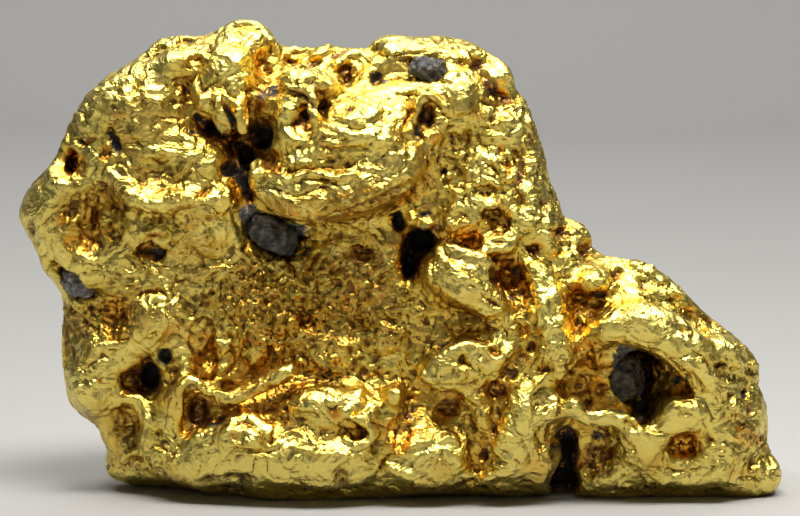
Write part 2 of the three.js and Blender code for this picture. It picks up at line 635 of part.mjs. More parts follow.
const group = new THREE.Group();
group.add(named("nugget", gold(), "gold"));
for (const [name, grain] of Object.entries(grains)) {
  const geometry = closeShortEdges(egg(grain).getMesh(), smallestEdge);
  group.add(named(name, geometry, name.split("_")[0]));
}
const box = new THREE.Box3().setFromObject(group);
const middleOfBox = box.getCenter(new THREE.Vector3());
group.position.set(-middleOfBox.x, -middleOfBox.y, 0);

export default group;
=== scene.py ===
import math
import time

import bmesh
import bpy
import numpy as np
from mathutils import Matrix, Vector, noise
from mathutils.bvhtree import BVHTree


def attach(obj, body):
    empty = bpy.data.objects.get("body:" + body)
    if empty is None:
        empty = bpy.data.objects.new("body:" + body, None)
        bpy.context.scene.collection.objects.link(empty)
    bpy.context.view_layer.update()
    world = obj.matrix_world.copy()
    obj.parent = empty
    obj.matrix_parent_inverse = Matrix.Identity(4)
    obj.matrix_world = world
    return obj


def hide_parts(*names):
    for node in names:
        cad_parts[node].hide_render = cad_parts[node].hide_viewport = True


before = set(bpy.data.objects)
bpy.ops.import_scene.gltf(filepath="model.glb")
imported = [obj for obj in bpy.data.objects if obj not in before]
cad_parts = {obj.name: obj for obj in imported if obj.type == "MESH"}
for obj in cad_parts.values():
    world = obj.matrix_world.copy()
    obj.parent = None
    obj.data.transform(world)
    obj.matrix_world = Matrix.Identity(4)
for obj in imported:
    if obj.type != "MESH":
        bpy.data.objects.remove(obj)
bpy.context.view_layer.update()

noise.seed_set(7)  # without it, the marks would stray another way in each run
started = time.time()


def report(stage):
    print(f"[nugget] {stage} at {time.time() - started:.1f} s")


camera = {
    "distance": 1.0,  # metres from the nugget
    "elevation": 7.0,  # degrees above the floor
    "aim": Vector((-0.0009, -0.0017, 0.079)),
    "width": 0.2667,  # what the frame's width shows at that distance
    "sensor": 36.0,
    "clip": (0.01, 20.0),
    "aimHeight": 78,  # v of the aim on the show face, in millimetres
}


def placeCamera():
    data = bpy.data.cameras.new("camera")
    eye = bpy.data.objects.new("camera", data)
    bpy.context.scene.collection.objects.link(eye)
    tilt = math.radians(camera["elevation"])
    away = Vector((0.0, -math.cos(tilt), math.sin(tilt)))
    eye.location = camera["aim"] + away * camera["distance"]
    eye.rotation_mode = "QUATERNION"
    eye.rotation_quaternion = (-away).to_track_quat("-Z", "Y")
    data.sensor_width = camera["sensor"]
    data.lens = data.sensor_width * camera["distance"] / camera["width"]
    data.clip_start, data.clip_end = camera["clip"]
    bpy.context.scene.camera = eye
    bpy.context.view_layer.update()
    return eye


eye = placeCamera()
report("camera")


def pointsOf(mesh):
    points = np.empty(len(mesh.vertices) * 3, np.float32)
    mesh.vertices.foreach_get("co", points)
    return points.reshape(-1, 3).astype(np.float64)


def normalsOf(mesh):
    normals = np.empty(len(mesh.vertices) * 3, np.float32)
    mesh.vertex_normals.foreach_get("vector", normals)
    return normals.reshape(-1, 3).astype(np.float64)


def movePoints(mesh, points):
    mesh.vertices.foreach_set("co", points.astype(np.float32).ravel())
    mesh.update()


def keep(mesh, name, values):
    layer = mesh.attributes.new(name, "FLOAT", "POINT")
    layer.data.foreach_set("value", np.clip(values, 0.0, 1.0).astype(np.float32))


# each pass draws every value half way to the mean of its neighbours on the mesh
def softened(mesh, values, passes):
    ends = np.empty(len(mesh.edges) * 2, np.int32)
    mesh.edges.foreach_get("vertices", ends)
    ends = ends.reshape(-1, 2)
    size = len(mesh.vertices)
    touching = np.maximum(np.bincount(ends.ravel(), minlength=size), 1)
    columns = []
    for column in np.atleast_2d(values.T):
        for _ in range(passes):
            total = np.bincount(ends[:, 0], column[ends[:, 1]], size)
            total += np.bincount(ends[:, 1], column[ends[:, 0]], size)
            column = 0.5 * column + 0.5 * total / touching
        columns.append(column)
    return columns[0] if values.ndim == 1 else np.stack(columns, axis=1)


def shaped(obj, kind, **settings):
    modifier = obj.modifiers.new(kind.lower(), kind)
    for name, value in settings.items():
        setattr(modifier, name, value)
    bpy.context.view_layer.update()
    evaluated = obj.evaluated_get(bpy.context.evaluated_depsgraph_get())
    made = bpy.data.meshes.new_from_object(evaluated)
    obj.modifiers.clear()
    old, obj.data = obj.data, made
    bpy.data.meshes.remove(old)
    return obj


def copyOf(node, name):
    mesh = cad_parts[node].data.copy()
    mesh.materials.clear()
    piece = bpy.data.objects.new(name, mesh)
    bpy.context.scene.collection.objects.link(piece)
    work = bmesh.new()
    work.from_mesh(mesh)
    bmesh.ops.remove_doubles(work, verts=work.verts, dist=0.000001)
    work.to_mesh(mesh)
    work.free()
    return piece


# u runs right and v up on the show face, in millimetres, as the camera sees them
def asSeen(points):
    turn = np.array(eye.matrix_world.to_3x3())
    seen = (points - np.array(eye.location)) @ turn
    far = -seen[:, 2]
    u = 1000 * camera["distance"] * seen[:, 0] / far
    v = 1000 * camera["distance"] * seen[:, 1] / far + camera["aimHeight"]
    return u, v


seeing = {
    "grazing": 0.03,  # a point that faces the camera less than this is out of sight
    "fade": 0.3,  # and this much more brings it into full sight
    "slack": 0.0018,  # how far behind the first hit a point still counts as seen, in metres
}


def inSight(piece, points, normals):
    tree = BVHTree.FromObject(piece, bpy.context.evaluated_depsgraph_get())
    source = Vector(eye.location)
    toEye = np.array(source) - points
    distance = np.linalg.norm(toEye, axis=1)
    facing = np.einsum("ij,ij->i", normals, toEye) / distance
    seen = (facing > seeing["grazing"]).astype(float)
    for i in np.nonzero(seen)[0]:
        ray = Vector(points[i]) - source
        hit = tree.ray_cast(source, ray.normalized())
        if hit[3] is not None and hit[3] < distance[i] - seeing["slack"]:
            seen[i] = 0.0
    return seen * np.clip((facing - seeing["grazing"]) / seeing["fade"], 0, 1)


def curveThrough(path):
    knots = np.array(path, float).reshape(-1, 2)
    if len(knots) < 3:
        return knots
    knots = np.vstack([2 * knots[0] - knots[1], knots, 2 * knots[-1] - knots[-2]])
    curve = []
    for a, b, c, d in zip(knots, knots[1:], knots[2:], knots[3:]):
        for t in (0.0, 0.25, 0.5, 0.75):
            curve.append(0.5 * (2 * b + (c - a) * t + (2 * a - 5 * b + 4 * c - d) * t ** 2
                                + (3 * b - a - 3 * c + d) * t ** 3))
    return np.array(curve + [knots[-2]])


# points within reach of a curve: which, how far off, how far along it, and the side (left is above 0)
def nearCurve(u, v, curve, reach):
    low, high = curve.min(axis=0) - reach, curve.max(axis=0) + reach
    near = np.nonzero((u > low[0]) & (u < high[0]) & (v > low[1]) & (v < high[1]))[0]
    pu, pv = u[near], v[near]
    best = np.full(len(near), 1e9)
    along = np.zeros(len(near))
    side = np.zeros(len(near))
    walked = 0.0
    for (u0, v0), (u1, v1) in zip(curve, curve[1:]):
        length = max(1e-6, math.hypot(u1 - u0, v1 - v0))
        du, dv = (u1 - u0) / length, (v1 - v0) / length
        t = np.clip((pu - u0) * du + (pv - v0) * dv, 0, length)
        su, sv = pu - u0 - t * du, pv - v0 - t * dv
        distance = np.hypot(su, sv)
        closer = distance < best
        best[closer] = distance[closer]
        along[closer] = walked + t[closer]
        side[closer] = (du * sv - dv * su)[closer]
        walked += length
    return near, best, along / walked, side


ovalMargin = 1.7  # how far out an oval's points are looked for, in radii


# how far points are from an oval's middle, where 1 is its edge
def inOval(u, v, oval):
    au, av, ru, rv, turn = oval[:5]
    reach = ovalMargin * max(ru, rv)
    near = np.nonzero((np.abs(u - au) < reach) & (np.abs(v - av) < reach))[0]
    c, s = math.cos(math.radians(turn)), math.sin(math.radians(turn))
    du, dv = u[near] - au, v[near] - av
    return near, np.hypot((c * du + s * dv) / ru, (c * dv - s * du) / rv)


def smooth(values, low, high):
    t = np.clip((values - low) / (high - low), 0, 1)
    return t * t * (3 - 2 * t)


# Marks on the show face. Paths are u, v pairs. A roll, fold, crease or ledge is (half width, height, path).
# A pit, knob or patch of colour is (u, v, half length, half width, turn, depth or strength). All are in
# millimetres and degrees. A melt, crinkle or fill mark is such a patch too, and changes the skin it covers.
# Of the colour patches, the near-black marks in deep holes are painted shade, partly crust; the amber marks
# are painted shade; the ochre marks are partly iron staining, partly painted reflection.
carving = {
    "dome": {
        "creases": [
            (0.9, 1.8, [-86, 148, -84.5, 146, -83, 145.5, -82, 147, -80.5, 148.5, -78, 148.5, -76, 149.5,
                -71, 148.5]),
            (0.8, 1.2, [-85, 144, -86, 141, -85.5, 139, -87, 137, -88, 134, -90, 133]),
            (0.8, 1.0, [-82, 125.5, -77, 124.5, -71, 124]),
            (0.9, 1.3, [-105, 131, -104.5, 129, -103.5, 127.5]),
            (0.8, 1.0, [-108, 129, -105.5, 125, -103.5, 121.5]),
            (1.3, 2.6, [-108, 117.5, -105.5, 116, -103, 117, -101.5, 118.5]),
            (1.8, 4.2, [-98.5, 122, -97, 119, -95, 116, -93.8, 112.5]),
            (0.7, 0.9, [-96, 141, -93, 139.5, -91, 140, -89, 138]),
            (0.7, 0.8, [-100, 135, -97, 133.5, -94, 134]),
            (0.7, 0.9, [-79, 139, -76, 137.5, -73, 138, -70, 137]),
            (0.7, 0.9, [-80, 118, -77, 116, -75, 117, -73, 115]),
            (0.7, 0.9, [-88, 117, -86, 115.5, -83, 116]), (0.8, 1.0, [-84, 111, -80, 109, -77, 110.5]),
        ],
        "folds": [
            (1.3, 1.1, [-86.5, 133.5, -84, 131.8, -80.5, 130.2, -79, 129.3]),
            (1.1, 0.9, [-90, 125, -88, 127, -86.5, 127.5]),
            (1.4, 1.2, [-109, 127.5, -107, 125, -105, 122.5, -103, 121]),
            (1.2, 0.9, [-104, 134, -100, 133.5, -97, 136]), (1.2, 0.8, [-95, 136, -93, 138, -90, 137.5]),
            (2.0, 1.2, [-100, 122, -101, 117, -100, 112, -98, 108]),
            (1.3, 0.9, [-76, 133, -73, 131, -71, 131.5]), (1.3, 0.9, [-82, 113, -79, 114, -76, 112.5]),
            (1.2, 0.8, [-90, 119, -86, 118.5, -82, 119.5]),
        ],
        "ledges": [
            (3.0, 0.9, [-80, 121.2, -85, 120.8, -88.5, 122]),
            (3.0, 0.8, [-72, 133.5, -76, 134.5, -80, 134, -84, 135.5]),
            (3.5, 1.0, [-76, 104, -80, 106, -86, 105.5, -90, 108]),
        ],
        "rolls": [
            (2.6, 1.6, [-120, 110, -116.5, 114, -112, 116.3, -108.5, 116]),
            (1.8, 1.5, [-92.5, 109.5, -90.5, 106, -89, 103]),
        ],
        "pits": [
            (-84.5, 144.3, 2.2, 1.8, 0, 1.4), (-95, 128.5, 2.2, 1.3, -20, 1.0),
            (-108, 109, 3.6, 5.5, 12, 2.6), (-98, 114, 1.8, 4, 10, 1.2), (-68, 144, 3.2, 1.9, 10, 2.2),
            (-70.5, 141.8, 1.6, 1.6, 0, 1.2), (-71, 151, 3.5, 1.5, 10, 1.2), (-63.5, 146.5, 1.8, 1.8, 0, 1.5),
        ],
        "knobs": [
            (-85, 149.5, 4, 2.6, 30, 1.0), (-104, 115.3, 1.9, 1.9, 0, 1.2), (-75, 144, 4, 3, 0, 0.9),
            (-113, 112, 3, 2.4, 0, 0.9),
        ],
        "stains": [
            (-84.5, 144, 2.4, 2, 0, 0.9), (-85.5, 140.5, 2.4, 3, 0, 0.5), (-95, 128, 3, 2, -20, 0.7),
            (-105, 117, 4, 1.5, 0, 0.9), (-94, 123, 3.5, 4, 0, 0.35), (-72, 149.5, 3.5, 1.6, 0, 0.8),
            (-67, 151, 2.4, 1.2, 0, 0.9), (-107, 130, 3, 1.2, -30, 0.5), (-80, 112, 9, 6, 0, 0.22),
            (-111, 119.5, 1.6, 3, 20, 0.6),
        ],
        "voidShadeAndCrust": [
            (-95.5, 116.5, 1.7, 5.2, 25, 1.0), (-93.4, 112.5, 1.4, 1.8, 0, 1.0),
            (-105.5, 116.6, 3, 0.7, 10, 0.7),
        ],
        "ochreStainAndReflection": [
            (-108, 109, 3.8, 6, 12, 0.9), (-97.5, 113, 1.8, 4, 0, 0.8), (-87, 131.5, 3.5, 2.5, 20, 0.6),
            (-68.3, 143.6, 3.4, 2.4, 10, 1.0), (-94.5, 124.5, 3, 4, 0, 0.6), (-72, 151.5, 2.4, 1.5, 0, 0.6),
        ],
    },
    "drips": {
        "rolls": [
            (2.3, 1.6, [-64.5, 133, -65.5, 129, -65, 125, -64.5, 123.5]),
            (2.6, 1.6, [-59.5, 133, -61, 128, -59, 122, -56.8, 117.5]),
            (3.3, 1.8, [-53, 132, -52, 127, -51, 121, -50, 118]),
            (1.8, 1.4, [-46.8, 129, -46.2, 126, -45.3, 123]),
            (1.6, 1.6, [-47.5, 112, -45, 114.3, -42, 115, -40, 113.5]),
            (1.3, 1.2, [-49, 110, -48.5, 107, -47, 105]), (1.4, 1.0, [-69, 119.7, -66.5, 121, -64.8, 120.5]),
            (1.3, 1.2, [-43.5, 152, -41.7, 149, -40.7, 145]),
            (1.4, 1.2, [-43, 140.3, -40.5, 138.8, -39, 138]),
        ],
        "folds": [
            (1.2, 0.9, [-68, 134, -66, 132, -66.5, 129]), (1.0, 0.8, [-62, 131, -61, 134, -62.5, 136.5]),
            (1.0, 0.8, [-56, 131, -54.5, 128, -55, 125]), (1.1, 0.8, [-50, 136, -48.5, 134, -48.7, 131]),
            (1.5, 0.9, [-57.5, 155.7, -54, 156.6, -50, 156.6, -46, 155.8]),
        ],
        "creases": [
            (0.8, 1.7, [-66, 138, -66, 135, -65, 134, -63, 136, -60, 135, -58.5, 136.5, -57.8, 138]),
            (0.8, 1.4, [-58.7, 137, -58, 135, -57, 133.5, -55.5, 132, -53.8, 131.5]),
            (1.0, 2.6, [-58.7, 130.5, -57.3, 127, -56, 124, -55.2, 120, -54, 117]),
            (0.9, 1.8, [-63, 131, -62.6, 127, -62, 123.5]),
            (0.9, 1.5, [-57.5, 155, -54, 155.3, -50, 155.2, -46.5, 154.6, -44.6, 153]),
            (0.8, 1.2, [-57, 150, -54.5, 149.8, -52, 149.3, -51, 148.3]),
            (0.8, 1.2, [-55, 153.6, -53.2, 152.4, -53, 151]),
            (1.6, 2.2, [-50, 149, -48.3, 146, -47.6, 142.5, -45, 140.2, -42, 139.2]),
            (0.9, 1.4, [-80, 148.2, -76, 149, -73, 150.4, -69, 150.2, -66, 151, -63, 150.5, -61, 151.3,
                -59.5, 154.5]),
            (0.7, 1.0, [-60, 145.5, -58.5, 144, -57.5, 142.5]),
        ],
        "knobs": [
            (-57, 152, 2.3, 3.6, 8, 1.0), (-49, 152.6, 3, 2.4, 0, 1.0), (-55, 144.5, 5.5, 4.5, 0, 0.8),
            (-51.5, 137, 3.5, 3, 0, 0.8), (-61, 139.5, 3.5, 3, 0, 0.8), (-66, 117.5, 5, 3, 0, 0.9),
            (-60, 112.5, 3.5, 3, 0, 0.7),
        ],
        "pits": [
            (-67.5, 125, 1.9, 1.7, 0, 3.0), (-63, 121.8, 3.6, 1.5, -20, 4.0),
            (-59.3, 120, 2.5, 1.8, -20, 4.0), (-69.3, 119.4, 2, 0.9, 0, 1.8), (-45, 118, 4.2, 4.6, 0, 4.0),
            (-51, 111, 3.3, 5, 20, 4.5), (-57, 107.5, 3, 3.4, 0, 3.2), (-45.5, 144, 2.3, 4.2, 8, 1.5),
            (-42.8, 147, 1.4, 3.4, 10, 1.2), (-44, 110, 3, 2.2, 0, 1.6),
        ],
        "stains": [
            (-65, 134.5, 4, 1.5, 20, 0.7), (-45, 144, 2.2, 4.5, 8, 0.55), (-46, 133, 3, 2, 20, 0.9),
            (-57, 108, 3.4, 3.6, 0, 0.8), (-63.5, 147, 2, 2, 0, 0.8), (-50, 118, 1.4, 2, 0, 0.5),
            (-44, 110, 3, 2.4, 0, 0.5), (-72, 118, 5, 3, 0, 0.5), (-61, 113, 5, 4, 0, 0.3),
        ],
        "voidShadeAndCrust": [
            (-67.5, 125, 2, 1.8, 0, 1.0), (-63, 121.8, 3.8, 1.6, -20, 1.0), (-59.3, 120, 2.6, 2, -20, 1.0),
            (-69.3, 119.4, 2, 0.9, 0, 0.9), (-45, 118, 4.6, 5, 0, 1.0), (-51, 111, 3.6, 5.4, 20, 1.0),
            (-56.5, 125, 1.1, 6, 15, 1.0), (-57, 107, 2.8, 3.2, 0, 0.8), (-53, 105, 2, 4, 0, 1.0),
            (-43.5, 132.5, 4, 2, 30, 0.9), (-53.5, 115.5, 2.5, 1.5, 0, 1.0),
        ],
        "ochreStainAndReflection": [
            (-47.5, 143, 2, 4.5, 10, 0.9), (-43.5, 149, 1.6, 4, 10, 0.7), (-53.5, 153, 2.4, 2, 0, 0.7),
            (-48.3, 132, 1.4, 3, 0, 0.7), (-44.5, 140.5, 3, 1, -25, 0.6),
        ],
    },
    "rim": {
        "rolls": [
            (1.3, 1.5, [-34, 142, -30, 144.5, -26, 147, -23, 149]),
            (1.4, 1.5, [-24, 141, -20, 143.5, -16, 145.8, -12, 147]),
            (1.4, 1.0, [-40, 148, -35, 149.3, -28, 150.2, -20, 149.6, -14, 148.8]),
            (1.6, 1.0, [-14, 134, -12, 137, -11, 139.5]),
            (1.3, 1.2, [28, 148, 32, 144, 36, 140, 38.5, 136.8, 41, 133.2, 42.5, 130]),
            (1.2, 1.2, [23.5, 148.5, 26, 146, 28, 143.6]),
        ],
        "folds": [
            (1.1, 0.8, [-38, 146, -35, 144, -33, 145.5]), (1.0, 0.8, [-30, 148, -33, 147, -36, 148]),
            (1.1, 0.8, [-19, 139.5, -16, 141, -14, 143.5]), (1.2, 0.9, [-8.5, 142, -8, 144.5, -6.5, 146]),
            (1.1, 0.9, [-3, 139, 0, 138.4, 4, 137.8]), (1.1, 0.9, [10, 146.8, 14, 147.2, 17, 146.5]),
            (1.0, 0.8, [14, 142, 17, 141, 19, 142.4]), (1.2, 1.0, [17.5, 146, 18.5, 143.8]),
            (1.0, 0.8, [4, 144.5, 7, 144, 9, 145.2]), (1.0, 0.8, [12, 144.5, 15, 145.3]),
        ],
        "creases": [
            (0.8, 1.2, [-4, 151, -1, 151.6, 2, 152, 5, 151.6, 8, 150.3, 10, 150]),
            (0.9, 1.2, [-11, 148.5, -8, 147.5, -5, 145.8, -1, 145.4, 4, 146, 8, 147, 11, 148.8]),
            (0.8, 1.2, [16, 147.8, 20, 148.6, 22.5, 147, 24, 144.8, 26, 143.2]),
            (2.0, 3.0, [27.5, 140, 29, 135.5, 31, 132.8, 35, 131.6, 40, 131]),
            (0.8, 1.0, [27, 147, 30, 143.8, 33, 141.5, 35.5, 138]),
            (0.8, 1.0, [35, 134.5, 38, 133.4, 40.5, 131.5]), (0.8, 1.2, [13, 150.8, 16, 150, 19, 151.5]),
        ],
        "pits": [
            (-33, 147.2, 4.6, 1.3, 12, 1.8), (-29, 142.3, 3.8, 1.6, 25, 1.8), (-21, 146, 4, 1.5, 20, 1.6),
            (-18.5, 140.8, 3.2, 1.8, 0, 1.5), (-18, 137.8, 1.8, 2.4, 0, 2.0),
            (-36.5, 143.5, 2.6, 2.4, 0, 1.0), (-8, 137.5, 3.5, 2.3, 20, 3.0), (-13, 135, 1.5, 2.4, 10, 1.5),
            (0, 143.5, 7, 2.1, 0, 1.4), (12, 150.4, 2.6, 1.5, -20, 1.6), (-9, 148.5, 1.8, 1.1, 0, 1.2),
            (25.5, 142, 2.6, 2.2, 0, 2.2), (21, 143.5, 2.6, 1.4, -30, 1.2), (3, 137.9, 2.2, 0.9, 0, 1.0),
        ],
        "knobs": [
            (34, 138.5, 3.4, 2.0, -42, 1.6), (24, 136, 3, 3.4, 0, 0.9), (-5, 148, 3.4, 1.8, 0, 1.0),
            (8, 141, 4.5, 2.4, -15, 0.8), (31.5, 146.5, 2, 1.3, -45, 0.7),
        ],
        "stains": [
            (-29, 142, 4, 1.9, 25, 0.9), (-21, 146, 4, 1.6, 20, 0.85), (-18.5, 140, 3.2, 3, 0, 0.75),
            (-37, 143.5, 3, 3, 0, 0.6), (-33, 147, 4.6, 1.4, 12, 0.45), (0, 143.5, 8, 2.6, 0, 0.8),
            (26, 142, 3, 2.6, 0, 0.95), (30, 135.5, 2.4, 4.2, 20, 0.95), (35, 131.6, 5, 1.6, -8, 0.95),
            (12, 150.4, 2.6, 1.5, -20, 0.7), (3, 146, 6, 1, 5, 0.85), (-3, 150.6, 5, 0.8, 5, 0.5),
            (-13, 134.5, 1.8, 2.4, 10, 0.5), (20, 147.8, 3, 1, 0, 0.4), (13, 143, 4, 2.4, 0, 0.4),
            (3, 137.8, 2.6, 0.9, 0, 0.7),
        ],
        "voidShadeAndCrust": [
            (-8, 138, 3, 2, 20, 1.0), (-7.5, 134.8, 2.4, 1.4, 10, 0.6), (30.5, 133.5, 2, 1.5, 0, 0.7),
        ],
        "ochreStainAndReflection": [
            (-32, 148, 5, 1.3, 10, 0.9), (-15, 141.5, 4, 4, 0, 0.5), (21, 143.5, 3, 2, -30, 0.8),
            (25, 135, 2.4, 3.4, 0, 0.4), (9, 147, 3.5, 2, 10, 0.5), (35.5, 142, 3, 1.4, -40, 0.5),
            (-6, 141, 3, 2, 0, 0.5),
        ],
        "mineral": [
            (8, 140.7, 5.6, 3.0, -18, 1.0), (-4, 136.6, 2.2, 1.4, -20, 0.8), (4, 151, 2.6, 1.0, 0, 0.5),
        ],
    },
    "bulge": {
        "rolls": [
            (2.8, 1.3, [-39, 137.3, -35, 139.3, -31, 139.8, -26, 138, -23, 135.8, -20, 134]),
            (1.3, 1.5, [-38, 136, -34, 135, -30, 133, -28, 130, -27, 126, -27, 122]),
            (1.4, 1.6, [-45.6, 126, -43.6, 129.3, -40, 130.9, -37, 131, -33, 130, -30, 128, -28.7, 125,
                -28.7, 121.5]),
            (1.3, 1.1, [-41, 124.6, -38, 124.2, -35.6, 123.6]),
            (2.4, 1.2, [-10, 132.3, -4, 134, 2, 134.8, 8, 133.8, 13, 133]),
            (2.0, 1.0, [-19, 119, -12, 118.6, -4, 117.6, 0, 116.5]),
            (1.3, 1.2, [5.3, 126.5, 6.3, 130.3, 9.3, 132, 13, 130.6, 15, 127]),
            (1.5, 1.0, [-38.5, 108.8, -35.5, 109.8, -32.5, 109.5, -29.5, 110]),
            (1.4, 1.0, [-38, 105.4, -34, 104.8, -29, 105.4, -23, 105.4, -19, 104.8, -15, 105.6]),
            (1.1, 0.9, [-25, 117, -20, 116, -15, 116.4]),
        ],
        "folds": [
            (1.0, 0.8, [11, 127, 14, 126.6]), (1.0, 0.9, [11.5, 124.6, 16, 124.2]),
            (1.0, 0.9, [13, 121.2, 16, 123, 19, 123.6, 21, 122.6]),
            (1.0, 0.8, [1, 130, 1.4, 126, 0.4, 122.5]), (1.0, 0.8, [-24, 131, -22, 128.5, -24, 126]),
            (1.0, 0.8, [-14, 132, -13.5, 129.5, -12, 126.5]), (1.0, 0.8, [-24, 124.6, -20, 124.6, -17, 123]),
            (1.0, 0.8, [-33, 117.5, -31, 115.5, -29, 116.5]), (1.0, 0.7, [-28, 113.5, -24, 112.5, -20, 113]),
            (1.0, 0.7, [-14, 109, -10, 108.4, -8, 106.6]), (1.0, 0.7, [-6, 113, -2, 112, 2, 113]),
            (1.0, 0.8, [-44, 105.5, -41, 106.5, -38.5, 105]),
        ],
        "creases": [
            (1.4, 3.6, [-37.5, 133, -35, 132.8, -32, 132, -29.6, 129.6, -28.7, 126.6]),
            (1.0, 1.6, [-42, 129.8, -42.4, 127.4, -43, 125.6]),
            (1.0, 1.8, [3.5, 133, 3, 130, 3.5, 127, 2, 123, 1, 119.6, 3, 117]),
            (1.5, 2.4, [-9.5, 121.5, -7, 124, -4.5, 125.8, -2.6, 125.4]),
            (0.8, 1.2, [-18, 121.6, -15, 120.8, -12, 121.1]), (0.8, 1.0, [-28, 118, -22, 117.8, -16, 117.3]),
            (0.9, 1.2, [-28, 115.5, -22, 114.6, -16, 114.6, -10, 114.4]),
            (0.9, 1.3, [-38, 107, -33, 107.4, -28, 107.8, -22, 107.8, -18, 108.8, -14.5, 110.4]),
            (0.8, 1.2, [-31, 103.2, -26, 103.8, -21, 103.2]),
            (0.8, 1.1, [-27.6, 134.5, -25.5, 131.5, -25, 128]),
            (0.8, 1.0, [-12, 124, -11.5, 127, -13, 129.5]), (0.8, 0.9, [-44, 103, -40, 101, -36, 100]),
            (0.8, 0.9, [-12, 112, -12.5, 108, -14, 105]), (0.8, 0.9, [-6, 104.5, -2, 106, 2, 108.5]),
        ],
        "knobs": [
            (-36.5, 127.6, 3.8, 2.5, 0, 1.4), (-38, 120, 3, 2.6, 0, 1.2), (-37, 116, 3.2, 2.6, 0, 0.8),
            (-29.5, 113, 1.9, 1.5, 0, 1.0), (11, 118.2, 3, 2.4, 0, 1.3), (20, 131, 5.6, 6, 0, 1.0),
            (-34.5, 112, 1.7, 1.1, 10, 0.7), (-16, 124, 2.4, 2.6, 0, 0.8), (-23, 128.5, 2.4, 2, 0, 0.6),
            (-2.5, 110.5, 3.4, 2.2, 10, 0.8), (-31, 111.5, 1.8, 1.2, 0, 0.7),
        ],
        "pits": [
            (-34, 123, 3.8, 1.2, 8, 2.4), (-31, 125.6, 2.4, 1.5, 0, 1.6), (-33.5, 114.2, 2, 1.2, -20, 1.8),
            (-17, 128, 3, 1.2, 10, 2.0), (8.5, 126, 3.3, 5.6, -6, 3.4), (6.5, 120, 1.7, 4, 0, 3.2),
            (-17.2, 110, 1.5, 1.2, 0, 1.6), (-36, 107, 2.8, 0.9, 0, 1.0), (-22, 132.5, 1.2, 0.8, 0, 0.8),
            (17.5, 116.6, 1.8, 1.3, 0, 2.2), (22, 117.4, 2.2, 1.0, 10, 2.0), (-26, 132.8, 1.6, 1, 20, 0.9),
        ],
        "stains": [
            (-33, 132.3, 4.5, 1.2, -20, 0.9), (-40, 132.6, 3, 1.6, 20, 0.9), (-34, 123, 4, 1.3, 8, 0.8),
            (-31, 125.6, 2.6, 1.6, 0, 0.8), (-33.5, 114, 2.2, 1.3, -20, 0.7), (-17, 128, 3, 1.2, 10, 0.8),
            (8.5, 126.5, 3.4, 5, 0, 0.6), (-6, 124.2, 3.6, 1.3, 35, 0.8), (9.5, 107, 1.4, 5, 0, 0.5),
            (-28.8, 128.5, 1.2, 4, 10, 0.85), (-41, 128, 1, 2, 0, 0.6), (14, 117, 4, 3, 0, 0.35),
        ],
        "voidShadeAndCrust": [
            (6.4, 120, 1.7, 4, 0, 0.85), (18, 117.8, 3, 1.2, -5, 0.9), (-17.2, 110, 1.3, 1, 0, 0.7),
            (-30, 130.5, 2.6, 1.1, -40, 0.6),
        ],
        "ochreStainAndReflection": [
            (2.4, 123.5, 1.4, 6, -8, 0.95), (3, 131.5, 1.4, 2, 0, 0.8), (-41, 107.6, 3.4, 2, 0, 0.7),
            (11, 118, 3.4, 3, 0, 0.7), (-31, 122.6, 2, 1, -30, 0.7), (-43, 108, 4, 3, 0, 0.4),
            (-14, 107.6, 3, 1.4, 0, 0.5), (11, 129, 3, 3, 0, 0.6), (26, 127, 2.4, 4, 0, 0.6),
        ],
        "mineral": [
            (-34.5, 112, 1.7, 1.1, 10, 0.6),
        ],
    },
    "shoulder": {
        "rolls": [
            (1.6, 1.2, [14, 136.5, 18, 138.5, 22, 139.6, 25.7, 138.3, 27.3, 135, 27, 131]),
            (1.4, 1.2, [26.5, 124, 30, 127.6, 35, 128.4, 40, 127.8, 42, 125, 40, 121]),
            (1.3, 1.2, [30.5, 112, 33, 107.6, 36, 104, 38, 106.4, 37.6, 110, 36, 113]),
            (1.4, 1.0, [43.5, 127, 45.3, 121, 45.8, 116]),
            (1.4, 1.0, [47.5, 114, 50, 110, 50.3, 105.5, 53, 101]),
        ],
        "folds": [
            (1.2, 0.9, [28, 119, 31, 118.3, 34, 118.8, 37, 117.4]),
            (1.1, 0.9, [27, 127, 29.5, 125.6, 32, 126.2]), (1.0, 0.8, [43, 125, 42.8, 120, 43.4, 115.6]),
            (1.0, 0.8, [33, 124, 36, 123.4, 37.6, 124.8]), (1.2, 0.8, [12, 104, 14, 101.5, 15, 98]),
            (1.2, 0.8, [19, 111, 21.5, 108, 23.5, 105.4]), (1.2, 0.8, [24, 102.6, 27, 103.6, 30, 103.6]),
            (1.0, 0.8, [42, 112, 44, 113, 46, 112]), (1.0, 0.8, [16, 113.5, 19, 112.6, 22, 113]),
            (1.0, 0.8, [15, 109.6, 17.6, 110.6]),
        ],
        "creases": [
            (1.2, 2.8, [16, 119.3, 19, 118.2, 22, 119, 24, 120.2]),
            (1.0, 2.0, [42, 127, 41.5, 122, 41, 118, 41, 114, 40.6, 110, 41, 106]),
            (1.7, 3.8, [37, 115, 38.5, 112, 39.4, 109, 40, 105, 38.6, 102]),
            (1.1, 1.4, [26, 130, 30, 129.6, 34, 129.7, 38, 129.6]),
            (1.0, 1.4, [27, 111, 30, 108.4, 32.4, 105.8]), (0.9, 1.2, [46.6, 112, 46.6, 108, 46, 104.6]),
            (0.9, 1.4, [10, 113, 9.6, 109, 9, 104.6, 9.6, 101]),
            (0.9, 1.2, [26, 121, 27, 116.6, 29.5, 113.6]), (0.8, 1.0, [20, 105, 23.4, 103, 26, 100.6]),
            (0.8, 1.0, [12.4, 112, 13, 109.4]),
        ],
        "knobs": [
            (36, 124.5, 5, 3.2, -8, 1.0), (45, 109, 2.6, 3.2, 0, 1.0), (29, 110, 2.6, 1.8, 0, 0.8),
